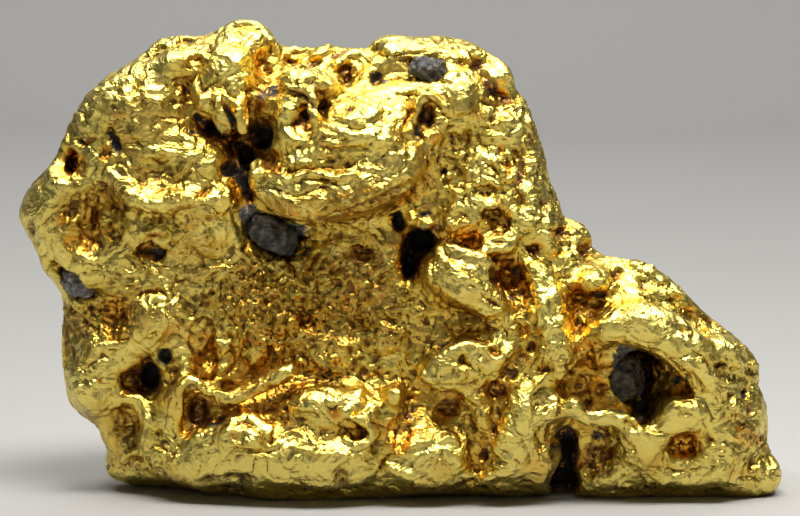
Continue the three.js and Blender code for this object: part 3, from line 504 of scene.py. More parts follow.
            (31, 118.5, 3, 1.7, 0, 0.7), (43, 110, 1.8, 1.8, 0, 0.6),
        ],
        "pits": [
            (35.6, 109, 1.7, 3.6, 8, 1.5), (33.6, 114, 1.4, 1.9, 0, 1.4), (14.6, 107, 2, 1.3, -15, 2.4),
            (13, 111, 1.1, 1.8, 0, 1.2), (5.6, 103.6, 1.2, 1.2, 0, 0.8), (48.6, 96, 2.2, 2.2, 0, 1.8),
            (38.6, 121, 1.6, 1.6, 0, 1.0),
        ],
        "stains": [
            (39.5, 107, 1.9, 6, -5, 0.95), (40.6, 116, 1.6, 6, 0, 0.8), (39, 121, 2, 2.4, 0, 0.7),
            (48.6, 96, 2.8, 2.6, 0, 0.8), (29, 128.8, 4, 1, 0, 0.7), (29, 124.6, 3, 1, 10, 0.6),
            (13, 111, 1.4, 2, 0, 0.8), (20, 108, 6, 5, 0, 0.3), (47, 106.5, 2, 3, 0, 0.4),
        ],
        "voidShadeAndCrust": [
            (14.6, 107, 2.2, 1.3, -15, 1.0), (36.8, 114.4, 1, 2, 0, 0.9), (30, 108, 2.6, 0.7, -45, 0.6),
        ],
        "ochreStainAndReflection": [
            (35.6, 109, 1.8, 4, 8, 0.9), (33.6, 114, 1.5, 2, 0, 1.0), (44, 120, 1.5, 7, 0, 0.7),
            (20, 104, 7, 5, 0, 0.4), (33, 124, 5, 2.4, 0, 0.4), (47.5, 109, 2, 3, 0, 0.5),
        ],
    },
    "leftWall": {
        "rolls": [
            (2.2, 1.3, [-117, 108, -115, 104.6, -112.6, 100.6]),
            (1.6, 1.3, [-122, 83, -119, 78, -116, 74, -113, 71, -111, 69.6]),
            (2.0, 1.3, [-92.4, 108, -91, 104, -89, 100, -87, 97.6, -84, 96.9, -80, 97.3, -75, 98, -70, 97.6]),
            (1.5, 1.3, [-86, 62, -84, 60, -85, 57, -84.6, 53, -83.4, 51]),
            (1.7, 1.1, [-90, 83.4, -87, 85.2, -83, 87.6, -80.4, 88, -77, 85.6]),
            (1.4, 1.0, [-84.6, 79, -83.4, 75, -80.6, 70.4, -78, 67.8, -76, 65, -75.6, 62]),
        ],
        "folds": [
            (1.2, 1.0, [-106, 101, -105.4, 96, -107, 91, -110, 88]),
            (1.1, 0.9, [-113.4, 88, -113.4, 84, -111, 81, -107, 79, -103, 77, -100, 78.5, -98.4, 82, -99,
                86.5]),
            (1.2, 1.0, [-99.4, 93, -98.6, 87, -97, 81.5]), (1.1, 1.0, [-91.4, 91, -91.6, 85, -93.4, 80.4]),
            (1.2, 0.8, [-103, 100, -102.6, 95, -104.5, 90]),
            (1.0, 1.0, [-94, 77, -93.5, 74, -90.5, 72.6, -87.6, 73.6, -87, 76.5, -88.4, 79, -91.5, 79.6, -94,
                77]),
            (0.9, 0.8, [-110.5, 68.4, -107, 68.6, -105.4, 67.4]),
            (1.1, 0.8, [-99, 70, -94, 69.4, -89, 70, -86, 69]), (1.2, 0.8, [-101, 61, -100, 55.6, -99, 51]),
            (1.2, 0.7, [-98, 66, -94, 68, -90, 66.6, -88, 63]), (0.9, 0.8, [-94, 60, -93, 55, -95, 51.5]),
            (1.0, 0.8, [-79, 61, -78.4, 57, -79.4, 53]),
            (1.0, 0.8, [-76.4, 60, -75, 57, -73, 55, -72, 52, -72.6, 50]),
            (1.0, 0.8, [-70.6, 59, -71, 55, -70, 51]), (1.0, 0.8, [-77, 95, -74, 96, -71, 95.4]),
            (1.0, 0.7, [-75, 92, -72, 91, -70, 88]), (1.0, 0.6, [-97, 76, -96, 73, -97.4, 70.6]),
            (1.0, 0.7, [-116, 92, -117, 88, -115.6, 84]), (1.1, 0.8, [-125, 104, -122, 105, -120, 107.6]),
            (1.0, 0.7, [-80, 83, -77, 81.4, -74, 82]), (1.0, 0.7, [-82, 76.6, -79, 74, -76, 73.6, -73, 71]),
        ],
        "ledges": [
            (3.0, 1.1, [-86.6, 87, -88, 93, -90, 98, -92, 103, -96, 106, -100, 106, -104, 104, -108, 101.4,
                -112, 100.6]),
        ],
        "creases": [
            (0.9, 1.4, [-100.4, 98.5, -101.6, 94, -103, 90]),
            (1.0, 1.3, [-99, 104, -97.4, 99, -95.6, 95, -92, 92.6]),
            (1.3, 2.6, [-117.4, 77, -114, 74.4, -110, 72]), (0.9, 1.4, [-105.4, 68.6, -107, 65.6, -109, 64]),
            (1.0, 1.8, [-113.4, 64, -110, 61, -107, 58, -104, 55.5, -101, 54]),
            (1.7, 4.0, [-87, 80, -84.6, 81.2, -82.6, 81.2, -80.6, 79.6, -80, 77.2]),
            (1.1, 2.2, [-88, 65, -85, 66.4, -81, 67, -78.4, 65.6]),
            (0.8, 1.2, [-84, 98.4, -81, 98.8, -77, 99.6]), (0.8, 1.0, [-78, 101.6, -75, 103.4, -72, 103.8]),
            (0.8, 1.0, [-74.4, 89, -76, 91, -73.6, 93.6, -70, 94.6]),
            (0.8, 1.1, [-87, 72, -86, 69, -88.6, 67]), (0.8, 0.9, [-104, 74.4, -100, 73, -98.6, 71]),
            (0.9, 1.1, [-98.6, 54, -95, 51.6, -91, 51.4]), (0.8, 1.0, [-80.4, 63, -82, 61, -82.6, 58]),
        ],
        "knobs": [
            (-109, 67, 2.6, 1.7, 0, 0.9), (-107, 62, 2.4, 1.4, -40, 0.9), (-81, 56, 1.9, 4.6, 0, 0.7),
            (-90.6, 75.8, 2, 2, 0, 0.5), (-87, 53, 2.2, 2.6, 20, 0.8),
        ],
        "pits": [
            (-109, 95, 3.2, 6.2, -20, 1.6), (-95.6, 86, 3.2, 5, 0, 1.2), (-106.6, 83.4, 5.6, 3, 0, 1.0),
            (-123.4, 88, 1.8, 3, 0, 2.2), (-123.6, 106, 2.2, 0.9, 30, 1.0), (-88.8, 76, 1.2, 1.4, 0, 1.4),
            (-82, 85.6, 3.3, 1.2, 14, 1.3), (-102, 65.6, 2.8, 1.8, 0, 1.5), (-102, 61.5, 1.7, 0.9, 0, 1.3),
            (-83, 104.4, 5.4, 2.6, 5, 1.3), (-94, 58, 4.6, 7, 0, 1.3), (-107.6, 53, 5, 5.6, 0, 1.5),
            (-91, 95.4, 1.1, 1.3, 0, 1.4), (-80.4, 79, 1.8, 2.2, 0, 2.6),
        ],
        "stains": [
            (-109, 95, 3.4, 6.4, -20, 0.55), (-97, 102, 4, 5, 20, 0.6), (-92, 94, 2, 3, 0, 0.5),
            (-123, 88, 2.2, 3.4, 0, 0.9), (-84, 104.6, 6, 3, 5, 0.6), (-108, 53, 6, 8, 0, 0.75),
            (-102, 65, 3, 2, 0, 0.6), (-82, 86, 3.6, 1.4, 14, 0.5), (-94, 57, 5, 8, 0, 0.25),
            (-120, 80, 2, 5, 35, 0.3), (-84, 66.4, 5, 1.2, -5, 0.7), (-110, 60, 5, 4, -30, 0.5),
            (-115, 72, 3, 2, -40, 0.5),
        ],
        "voidShadeAndCrust": [
            (-81.6, 80, 3.6, 1.7, -25, 1.0), (-80.4, 78.4, 1.9, 2, 0, 1.0), (-86, 80.4, 2, 0.8, 10, 0.9),
            (-112, 73, 2.6, 1.5, -30, 1.0), (-105.6, 68.8, 1.2, 0.9, 0, 0.8), (-102, 61.5, 1.9, 1, 0, 0.8),
            (-91, 95.4, 1.1, 1.3, 0, 0.9), (-123, 88, 1.4, 2.4, 0, 0.6), (-88.8, 76, 1, 1.2, 0, 0.6),
        ],
        "ochreStainAndReflection": [
            (-112, 90.5, 2.6, 2.2, 0, 1.0), (-106, 83, 7, 4, 0, 0.75), (-101, 87, 6, 9, 0, 0.35),
            (-94, 58, 6, 9, 0, 0.8), (-82, 85.8, 3.4, 1.3, 14, 0.9), (-80, 99.2, 4, 1, 10, 0.8),
            (-123.6, 106, 2.2, 1, 30, 0.8), (-104, 66, 3, 2, 0, 0.5), (-70.6, 90, 2, 4, 0, 0.6),
            (-97, 75, 3, 4, 0, 0.3), (-107.6, 55, 5, 6, 0, 0.4),
        ],
        "mineral": [
        ],
        "crinkle": [
            (-104, 76, 8, 3, -20, 0.8), (-93, 60, 8, 10, 0, 0.7), (-107, 57, 6, 9, 0, 0.7),
            (-82, 88, 8, 8, 0, 0.4),
        ],
    },
    "lip": {
        "rolls": [
            (2.2, 1.0, [-47.4, 101, -46.6, 96.6, -43, 93.4, -38, 91.4, -32, 91, -27, 92.4, -21, 94.6, -13,
                97.4, -5, 101]),
        ],
        "folds": [
            (0.9, 0.9, [-45, 104.4, -42, 106.4, -39.5, 105.4, -37, 104.5, -33, 105.2, -29, 106, -25, 105,
                -21, 104.8, -19, 106, -15, 106, -12.4, 105, -11, 103.8]),
            (1.2, 0.7, [-44, 99, -40, 97.4, -34, 96.4, -28, 97.6, -22, 98.6]),
            (0.9, 0.8, [-62, 101.4, -59.6, 102.4, -57.5, 101, -57.6, 98.6, -60, 97.6, -62, 98.6]),
            (0.8, 0.7, [-60.6, 100.8, -59, 100.6, -59.2, 99.2]), (0.9, 0.8, [-66, 94, -63, 93, -60.5, 90.4]),
            (1.0, 0.8, [-69, 93.4, -66, 91.6, -64, 88.6]),
            (1.0, 0.9, [-54.6, 85.6, -54.3, 81.6, -53, 79.2, -50, 78, -46, 77.6]),
            (1.1, 0.9, [-43, 81, -40, 79.6, -38, 82, -33.4, 83.2, -29, 82.6]),
        ],
        "creases": [
            (0.9, 1.2, [-45, 100.5, -42, 100.8, -38, 99.4, -34, 98.9, -30, 99.5, -27.5, 101]),
            (0.8, 1.0, [-72, 94.8, -68, 95, -65, 95.5, -62, 94, -60, 92]),
            (1.3, 4.0, [-51.6, 107, -51, 103, -50.6, 99, -49.4, 97]),
            (1.6, 2.8, [-28, 90.6, -24, 91.8, -19, 93, -13, 94.8, -7, 97.4, -1, 100, 3, 102.6]),
            (1.0, 1.4, [-39, 80, -37, 76, -35, 72]), (1.0, 1.3, [-27, 80, -30, 75, -32, 72]),
            (1.2, 2.0, [-40.5, 89, -38, 86, -36, 84.6, -31, 84.2]),
            (0.8, 1.0, [-57, 94, -55, 90.6, -53.6, 88]),
        ],
        "pits": [
            (-65.4, 99.8, 4.2, 1.4, 48, 2.0), (-25, 101.4, 1.9, 0.9, 0, 1.5), (-51, 82, 1.9, 2.8, 0, 1.0),
            (-55, 100, 2, 4, 0, 1.0), (-44.8, 101.6, 0.9, 0.7, 0, 0.8),
        ],
        "knobs": [
            (-34, 77, 2.8, 3.6, 0, 1.1), (-42.4, 103.6, 2.6, 1.8, 0, 0.6),
        ],
        "stains": [
            (-25, 101.4, 2, 0.9, 0, 0.9), (-16, 94, 12, 1.3, 20, 0.85), (-1, 100.4, 4, 1.4, 30, 0.8),
            (-48.6, 101, 1, 5, 0, 0.7), (-54, 99, 3, 5, 0, 0.35), (-42, 81.4, 6, 1.2, -10, 0.4),
            (-36, 92.6, 9, 1.2, 0, 0.25),
        ],
        "voidShadeAndCrust": [
            (-51, 102, 1.2, 6, 5, 1.0), (-37, 86, 4, 1.7, -45, 0.8), (-33, 86.6, 4, 2.2, 0, 0.75),
            (-27, 91, 2.4, 0.9, 10, 0.8), (-54.6, 92, 1.2, 1.6, 0, 0.7), (-49.6, 95, 1.2, 1.4, 0, 0.8),
        ],
        "ochreStainAndReflection": [
            (-65.4, 99.8, 4.4, 1.8, 48, 1.0), (-54.6, 99.6, 2.6, 5, 0, 0.9), (-34, 93, 10, 2.4, 0, 0.55),
            (-51, 82, 2.4, 3.4, 0, 0.8), (-14, 100.4, 12, 2, 12, 0.5), (-30, 98, 14, 3, 0, 0.3),
        ],
        "mineral": [
            (-46.6, 89, 8.5, 4.2, -40, 1.0), (-35, 87.4, 5.4, 2.8, 0, 0.9), (-50, 94, 4, 2.4, 40, 0.9),
        ],
    },
    "recess": {
        "folds": [
            (1.0, 0.8, [-71, 73, -65, 74, -60, 75.4, -55, 75, -50, 77]),
            (0.9, 0.9, [-69, 46, -71.4, 51, -70, 57, -66, 59.6, -62, 58, -60.6, 53, -62, 47]),
            (0.9, 0.7, [-65, 87, -63, 84, -66, 83]), (0.9, 0.8, [-52, 67, -48, 66, -43, 66.6, -40, 66]),
            (0.9, 0.9, [-47.4, 63.6, -45, 60, -44.6, 57, -45.6, 54]),
            (0.8, 0.8, [-49.4, 62.6, -49.2, 59.4, -47.6, 57.4]),
            (0.9, 0.9, [-59, 61.6, -57, 60, -58, 56, -56, 53, -54.6, 51.4]),
            (0.9, 0.8, [-55, 54.4, -52, 52.4, -50, 50]),
            (0.9, 0.9, [-37.4, 68, -37.6, 64.4, -35, 61.4, -32, 62.6, -31.4, 66, -33, 69.4, -36, 69.6, -37.4,
                68]),
            (0.9, 1.0, [-38.4, 57, -34, 59.6, -29, 59.6, -25, 57]),
            (0.9, 0.8, [-36, 56.4, -32, 53.4, -28, 52, -26, 54.4, -27, 57]),
            (0.9, 1.1, [-27.6, 48.4, -25, 50.3, -22, 50.6, -20.4, 49, -18.6, 47.6]),
            (0.9, 1.0, [-18.4, 48, -15.5, 50.2, -13, 49.6, -12, 46.6]),
            (0.9, 0.8, [-26, 58, -25, 62, -24, 65.4]), (0.9, 0.9, [-25.4, 70.4, -26.8, 66.6, -26, 65]),
            (0.9, 1.0, [-20.4, 64.4, -18.6, 61, -16, 62, -16, 65, -18.6, 66.4]),
            (0.9, 0.8, [-20, 77, -15, 77, -11, 74.6, -9.4, 72]),
            (0.8, 1.0, [-11, 86.6, -8, 86.6, -6, 84, -5.4, 81.4]),
            (1.0, 1.0, [-26, 79, -28, 74, -29.6, 69, -30, 64, -27.6, 60.8]),
            (0.9, 0.8, [-32.4, 61.4, -30.4, 63]), (0.9, 0.8, [-62, 70, -60, 73, -56, 72.6]),
            (0.9, 0.7, [-44, 73.6, -46.4, 70, -46.4, 67.4]), (0.9, 0.8, [-66, 66, -63, 68.6, -60.6, 66]),
            (0.9, 0.7, [-55, 64, -52, 61.6, -53.4, 58]), (0.9, 0.8, [-41, 64, -39, 60, -40.6, 56, -43, 52]),
            (0.9, 0.7, [-22, 72, -18, 73, -15.6, 70]), (0.9, 0.7, [-24, 84, -19, 82.6, -14, 83.4, -11.6, 81]),
            (0.9, 0.8, [-10, 67, -6, 68.4, -2, 67.6]),
            (0.9, 0.8, [-14, 60, -11.4, 58, -12.6, 54.6, -14.4, 52]),
            (0.9, 0.7, [-8, 62, -4, 60.6, 0, 61.4, 4, 60]),
            (0.9, 0.8, [-24, 56, -21, 55, -18.4, 56.4, -17.4, 53.6]),
            (0.9, 0.7, [-21, 88, -16, 88.6, -12, 90.6]), (0.9, 0.7, [-69, 82, -66, 80, -63, 80.6]),
            (0.9, 0.7, [-49, 73.4, -47, 76, -44, 75.6]), (0.9, 0.8, [-8, 53.4, -4, 55, 0, 53.6, 4, 55.4]),
            (0.9, 0.8, [-7, 47.4, -3, 49, 1, 47.4]), (0.9, 0.7, [-57, 69, -54, 70, -51, 69]),
            (0.8, 0.7, [-65.6, 55.6, -64, 52, -65.6, 48]), (0.9, 0.7, [-3, 76, -5, 72, -3.4, 68.6]),
            (0.9, 0.7, [-30, 51, -34, 50, -36.6, 46.6]), (0.9, 0.8, [-52, 47, -49.6, 44.4, -50.4, 41]),
            (0.9, 0.8, [-46, 51, -44.6, 47, -46, 43.6]), (0.9, 0.8, [-41, 48, -40, 45, -41.6, 42]),
            (0.9, 0.8, [-58, 49, -56, 45, -57.4, 41]),
        ],
        "creases": [
            (0.8, 1.1, [-60, 70, -60.2, 67, -60.4, 64.6]), (0.8, 1.0, [-59, 69.4, -57, 68.4, -55.4, 69]),
            (0.8, 1.0, [-72, 78, -70, 79, -68, 81.4]), (0.8, 1.0, [-12, 73, -10.4, 71, -9.8, 69]),
            (0.8, 1.0, [-50, 55, -50.4, 51, -49, 48]), (0.8, 0.9, [-24, 76, -22, 72.4, -22.4, 68]),
            (0.8, 0.9, [-16, 59, -15.6, 55, -16.4, 51.6]), (0.8, 0.9, [-42, 70, -39.6, 71.4, -38, 74]),
            (0.8, 0.9, [-38, 53, -38.6, 49, -37.6, 45.6]), (0.8, 0.9, [-56, 66, -53, 65, -51, 63.4]),
            (0.8, 0.9, [-64, 78, -61, 77.6, -59, 79.4]), (0.8, 0.9, [-6, 58, -2, 57, 2, 57.6]),
        ],
        "knobs": [
            (-66, 52.4, 3.6, 5, 0, 0.8), (-34.4, 65.6, 2.2, 3, 0, 0.8), (-31, 48.6, 2.2, 1.6, 10, 1.2),
            (-43, 75.4, 2, 1.4, 0, 0.8), (-57.4, 59.8, 1.6, 1.2, -20, 0.7), (-30, 61.6, 1.8, 0.9, 0, 0.7),
            (-11.4, 58.6, 1.2, 0.9, 0, 0.7), (-63, 65, 1.6, 1.3, 30, 0.8), (-35, 48, 3, 2.4, 0, 0.6),
        ],
        "pits": [
            (-66, 76.6, 1.8, 1.4, 0, 0.9), (-18, 63.6, 1.5, 1.5, 0, 1.0), (-31.6, 55.8, 4, 1.9, 0, 1.0),
            (-40.4, 61, 1.8, 1.4, 0, 0.8), (-23, 47, 3, 1.8, 0, 0.9), (-16, 47, 2, 1.6, 0, 0.8),
            (-48.6, 60, 1.2, 2, 0, 0.6), (-13, 80, 4, 3, 0, 0.8), (-55, 57.4, 2, 2, 0, 0.7),
            (-7, 71, 2.6, 2, 0, 0.8), (-6, 58, 3, 1.4, 0, 0.6), (-20, 59, 2, 1.6, 0, 0.7),
            (-49, 69.8, 2.4, 1.4, 0, 0.5), (-44, 62.4, 1.8, 1.8, 0, 0.7), (-50, 38, 3.6, 4, 0, 1.0),
            (-62, 45, 4, 5, 0, 1.0), (-43, 45, 2.4, 4, 0, 0.9),
        ],
        "stains": [
            (-12, 76, 10, 8, 0, 0.6), (-6, 66, 6, 5, 0, 0.5), (-19, 68, 4, 4, 0, 0.45),
            (-49, 50, 1.6, 5, 10, 0.5), (-16, 54, 3, 4, 0, 0.45), (-68, 80, 4, 3, 0, 0.4),
            (-38, 77, 2, 5, 25, 0.4), (-24, 74, 3, 5, -20, 0.35), (10, 56, 8, 5, 0, 0.4),
            (-2, 84, 4, 8, 0, 0.5), (-39, 52, 2, 4, 0, 0.3),
        ],
        "voidShadeAndCrust": [
            (-60, 67.4, 0.7, 3, 0, 0.6), (-57, 68.6, 2, 0.8, 0, 0.6), (-10, 71.6, 1.2, 1.4, 0, 0.6),
            (14, 49, 3, 0.8, 15, 0.9),
        ],
        "ochreStainAndReflection": [
            (-48, 48, 14, 9, 10, 0.6), (-30, 56, 8, 4, 0, 0.6), (-18, 63.4, 2.6, 2.6, 0, 0.8),
            (-12, 72, 10, 9, 0, 0.5), (-60, 75, 12, 2, 8, 0.5), (-43, 64, 5, 4, 0, 0.5),
            (-66, 48, 6, 10, 0, 0.5), (-10, 65, 8, 3, 15, 0.4), (-50, 57, 6, 5, 0, 0.4),
            (-22, 48, 8, 4, 0, 0.4), (-48, 36, 8, 6, 0, 0.7),
        ],
        "crinkle": [
            (-36, 66, 34, 17, 0, 1.0), (-40, 50, 26, 9, 0, 0.9), (-8, 60, 16, 14, 0, 0.9),
        ],
    },
    "hole": {
        "rolls": [
            (2.0, 1.2, [13, 81, 15, 82.2, 18, 81, 20, 79.6, 24, 79, 28, 77.5, 30, 75.6]),
            (1.2, 1.2, [19.4, 71, 22, 70.8, 25, 69.2, 28, 66]),
            (1.7, 1.3, [25, 73.6, 28, 72.6, 30, 70.6, 31.4, 68, 33, 66]),
            (2.0, 1.3, [29, 80.6, 34, 80.2, 38.6, 80.8, 42, 77.6, 45, 75, 48, 72.8, 52, 71]),
            (2.3, 1.1, [43.6, 101, 44, 97, 43, 92.4, 42, 88]),
            (1.3, 1.1, [56, 91, 60, 88.6, 63.4, 85, 65, 82.6]),
            (1.5, 1.0, [50, 87, 49.4, 82.4, 52, 79.2, 56, 78.2, 58, 81, 58.4, 84]),
            (2.4, 1.0, [44, 71, 46, 65, 46.8, 58, 49, 51]),
            (1.6, 0.9, [26, 60, 30, 60.6, 34, 62, 38, 62.2, 41.6, 64.6]),
        ],
        "folds": [
            (1.2, 1.0, [12.5, 92, 15, 92, 17, 89.6, 20, 87]),
            (0.9, 0.9, [15, 86.6, 17, 88.4, 18.6, 87, 17.6, 84.4, 18.6, 83]),
            (1.0, 0.9, [20, 98, 22, 100.6, 26, 102.6, 31, 103.6, 34.4, 101]),
            (1.0, 0.9, [25, 97.6, 28, 95.4, 31, 96, 34, 96.6]), (1.0, 1.0, [25, 92.4, 27.4, 89.2, 30, 88.6]),
            (0.9, 0.9, [28.8, 82.8, 30, 84.4, 33, 84.2, 35.8, 82.8, 34, 81.2, 30, 81.2]),
            (1.0, 0.8, [48, 61, 48.4, 64.4, 51, 65, 52.6, 64]),
            (1.0, 0.8, [55, 69, 56.6, 64, 60, 62, 64, 60]), (1.0, 0.8, [57.4, 59.6, 61, 58, 64.4, 56.4]),
            (0.9, 0.7, [3, 59.4, 6, 60, 10, 61]), (1.0, 0.8, [52, 83, 55, 82.6, 57, 84]),
            (1.0, 0.8, [16, 77, 18, 74, 21, 72.6]), (1.0, 0.7, [10, 66, 10.6, 63, 13, 60.6]),
            (1.0, 0.8, [23, 58, 26, 56.4, 30, 57, 33, 55]), (1.0, 0.8, [36, 58, 39, 57, 42, 58.4]),
            (1.0, 0.8, [22, 52, 26, 53, 30, 52]), (1.0, 0.8, [48, 58, 50, 55.6, 54, 54.6]),
            (0.9, 0.8, [22, 96, 21, 92, 23, 88.6]), (1.0, 0.7, [1.6, 100, 4, 98, 5.6, 95.4]),
            (0.9, 0.7, [14, 69, 17, 67, 21, 65.4]), (0.9, 0.7, [16, 66, 19, 64.4, 22, 62.4]),
            (1.0, 0.7, [61, 72.6, 64, 73.6, 67, 72.4]),
        ],
        "creases": [
            (1.6, 4.0, [-0.6, 93.4, -0.6, 90.4, 0.4, 87.6, 2.4, 86]),
            (0.9, 1.2, [10.6, 81, 10.6, 76, 10.4, 72.4, 12, 71]),
            (0.9, 1.4, [9.8, 71, 12.4, 69, 12.6, 66, 14.4, 62.4]), (0.9, 1.2, [20, 75.4, 21.6, 73.4, 24, 72]),
            (1.0, 1.6, [22.6, 69.8, 26, 67.4, 30, 64.4, 33.4, 61.8]),
            (1.2, 2.0, [43.6, 66, 44.6, 62, 44.6, 58, 44.2, 54]), (1.6, 2.4, [46, 101.4, 48, 97.6, 50, 94.4]),
            (0.9, 1.2, [28.6, 79.4, 32, 78.6, 35.6, 79]), (0.9, 1.1, [56, 70.6, 52, 72, 49, 74.4, 47, 76]),
            (0.8, 1.0, [20, 85, 22.6, 82.4, 26, 80.6]), (0.8, 1.0, [2, 65, 6, 64, 9, 61.6]),
            (0.8, 1.0, [14.6, 57, 17, 54, 16.4, 50.6]), (0.8, 1.0, [33.4, 55.4, 35.4, 53.6, 36.4, 51]),
            (0.9, 1.2, [38.6, 101, 40.6, 98, 41.4, 94.6]),
        ],
        "knobs": [
            (4, 90.2, 2.1, 2.3, 0, 2.2), (8.4, 88.6, 2.5, 1.4, 20, 2.2), (17, 74.6, 5, 4.6, -30, 0.9),
            (35.2, 97.6, 1.9, 1.7, 0, 1.0), (38.6, 93.4, 2, 2.2, 0, 0.9), (33, 86.4, 3.8, 1.8, 0, 1.0),
            (49, 90.4, 2.6, 2.4, 0, 0.9), (40, 69.4, 1.4, 2.1, -10, 1.2), (52.6, 92.6, 2, 1.8, 0, 0.8),
            (57.4, 86.6, 2, 1.6, 0, 0.8), (48, 78.6, 2.6, 1.8, -20, 0.6), (42.8, 63.4, 1.1, 1.8, 0, 0.9),
            (53, 88.4, 1.6, 1.4, 0, 0.7),
        ],
        "pits": [
            (7, 84, 5, 4.2, 30, 4.0), (2.8, 76.4, 2.3, 5.6, -8, 4.0), (13, 88, 1.9, 1.2, 0, 1.8),
            (8.4, 92.6, 2.8, 1.3, 0, 2.4), (29, 100.4, 4.2, 2.5, 5, 1.6), (34.2, 99.6, 1.1, 1.3, 0, 1.8),
            (31, 92.6, 4.8, 2.6, 0, 1.8), (38.4, 86, 0.9, 1.9, -20, 1.2), (32.4, 82.7, 3, 1.0, 0, 1.0),
            (35.6, 71.8, 3.1, 5, 0, 3.2), (39.4, 74, 1.5, 3.2, -10, 2.6), (36, 77.4, 2.8, 1.3, 0, 1.4),
            (41.6, 66.4, 2.4, 1.4, 20, 2.0), (44.6, 81.4, 2.8, 2.0, 0, 2.0), (54, 85.6, 3, 2.3, 0, 2.0),
            (61, 81, 2.8, 2.6, 0, 1.6), (53, 79.4, 2.2, 1.3, 0, 1.2), (24, 84.4, 3.4, 2.6, 0, 1.4),
            (20.6, 92, 3.6, 2.6, 0, 1.4), (58.6, 64.6, 3.6, 3.4, 0, 1.8), (64.6, 66, 1.9, 1.0, 0, 1.4),
            (41.6, 53.2, 1.9, 2.5, 0, 1.4), (24, 70.9, 1.4, 0.8, 0, 1.2), (31.6, 63, 2, 1.1, -40, 1.2),
            (9, 56, 4, 3, 0, 0.7), (14, 49, 2.8, 0.8, 15, 1.8), (4, 74, 1, 1, 0, 0.4),
        ],
        "stains": [
            (44.6, 81.4, 3, 2.2, 0, 0.95), (54, 85.6, 3.4, 2.6, 0, 0.95), (61, 81, 3.4, 3, 0, 0.8),
            (48, 97.6, 1.8, 4, 30, 0.95), (41.6, 66.4, 2.6, 1.5, 20, 0.95), (13, 88, 2.4, 1.6, 0, 0.9),
            (64.6, 66, 2.2, 1.1, 0, 0.9), (31.6, 63, 2.2, 1.2, -40, 0.8), (31, 94, 5, 1.8, 0, 0.5),
            (21, 93, 4, 2.4, 0, 0.4), (36, 77, 3, 1.4, 0, 0.6), (2, 100, 4, 2, 20, 0.6),
            (9, 96, 4, 3, 0, 0.5), (63, 76, 3, 2, -20, 0.5), (10, 56, 7, 4, 0, 0.5), (25, 86, 2, 3, 20, 0.4),
            (34, 53, 3, 2, 0, 0.3), (57, 71, 2, 0.9, -20, 0.6), (15, 96, 2.4, 3, 0, 0.3),
        ],
        "voidShadeAndCrust": [
            (7, 84, 5.6, 4.6, 30, 1.0), (2.8, 76.4, 2.6, 6, -8, 1.0), (-0.2, 90.6, 1.2, 4, 0, 1.0),
            (9, 92.4, 3.2, 1.2, 0, 0.9), (38.9, 74, 1.4, 3, -10, 0.8), (34.2, 99.6, 1.1, 1.3, 0, 0.8),
            (38.4, 86, 0.8, 1.6, -20, 0.7), (24, 70.9, 1.4, 0.7, 0, 0.7), (12.5, 66, 0.6, 4, 0, 0.5),
        ],
        "ochreStainAndReflection": [
            (3, 98, 4.6, 2.4, 10, 1.0), (8.6, 77, 2.4, 3.4, 20, 0.8), (24, 84.6, 4.4, 3.6, 0, 0.8),
            (35.4, 71, 3.4, 5.2, 0, 1.0), (58.6, 64.6, 4, 3.8, 0, 1.0), (41.6, 53.2, 2.2, 2.8, 0, 1.0),
            (39, 98, 2, 3, 20, 0.8), (53, 79.4, 2.6, 1.6, 0, 0.8), (29, 79, 4, 1, 0, 0.6),
            (55.6, 55, 2.6, 4, 0, 0.6), (21, 90, 5, 5, 0, 0.5), (28.6, 98.6, 3.4, 1.8, 0, 0.6),
            (3.4, 93, 2.4, 2, 0, 0.6), (64, 78, 3, 2, 0, 0.5), (44.6, 84, 2, 2, 0, 0.5),
            (50, 60, 2, 2, 0, 0.2),
        ],
        "mineral": [
            (37.6, 65.2, 1.2, 1.0, 0, 0.6), (45.6, 78.6, 2, 0.9, 0, 0.5), (64, 80, 1.6, 1.6, 0, 0.3),
        ],
        "crinkle": [
            (47, 93, 7, 7, 0, 0.8), (18, 89, 7, 7, 0, 0.7), (34, 55, 12, 6, 0, 0.7), (56, 82, 7, 7, 0, 0.6),
        ],
    },
    "foot": {
        "rolls": [
            (1.5, 1.2, [-111.5, 38, -108, 38.2, -106, 40, -105, 43, -104, 47, -102, 49, -98, 49.4, -94, 49.2,
                -89, 49]),
            (1.6, 1.4, [-95, 31, -92, 31.3, -88, 30.6, -86, 28, -85, 25, -84, 22, -84, 18, -84.6, 15]),
            (1.3, 1.6, [-73.6, 18, -74.4, 24, -74, 29, -73.4, 32, -72, 35, -70, 37, -67.5, 36.6, -65, 34.6,
                -62, 33.2, -59, 33]),
            (1.3, 1.1, [-92.4, 9.6, -91, 12.6, -87.6, 13.6, -85, 12.4]),
            (1.4, 1.0, [-83, 15, -80, 12.8, -77, 10, -75, 7, -74, 4]),
            (1.2, 1.1, [-81, 43.4, -79, 42, -77.8, 40.4]),
            (1.5, 1.0, [-74.4, 47, -72.4, 44, -71.4, 41, -73.6, 39, -77, 38.2]),
            (1.6, 1.0, [-72, 15, -69, 18, -65, 18.6, -61, 19.6]),
            (1.8, 1.0, [-114.5, 50, -115, 44, -115, 38, -113.6, 32]),
        ],
        "folds": [
            (1.0, 0.8, [-105, 43, -104.4, 40, -103.4, 37]), (1.0, 0.7, [-93, 22, -93, 18, -91.4, 14]),
            (1.0, 0.8, [-81.6, 12.4, -80, 9]), (1.0, 0.8, [-64.6, 41, -64, 38, -62, 35.6]),
            (1.0, 0.8, [-70, 44, -68.6, 41.6, -68.4, 40]), (1.0, 0.8, [-97, 27, -94, 29, -92, 28.4]),
        ],
        "creases": [
            (1.2, 2.2, [-111.6, 54, -111.8, 46, -112, 38, -112, 31]), (0.8, 1.0, [-93, 45, -91.4, 43]),
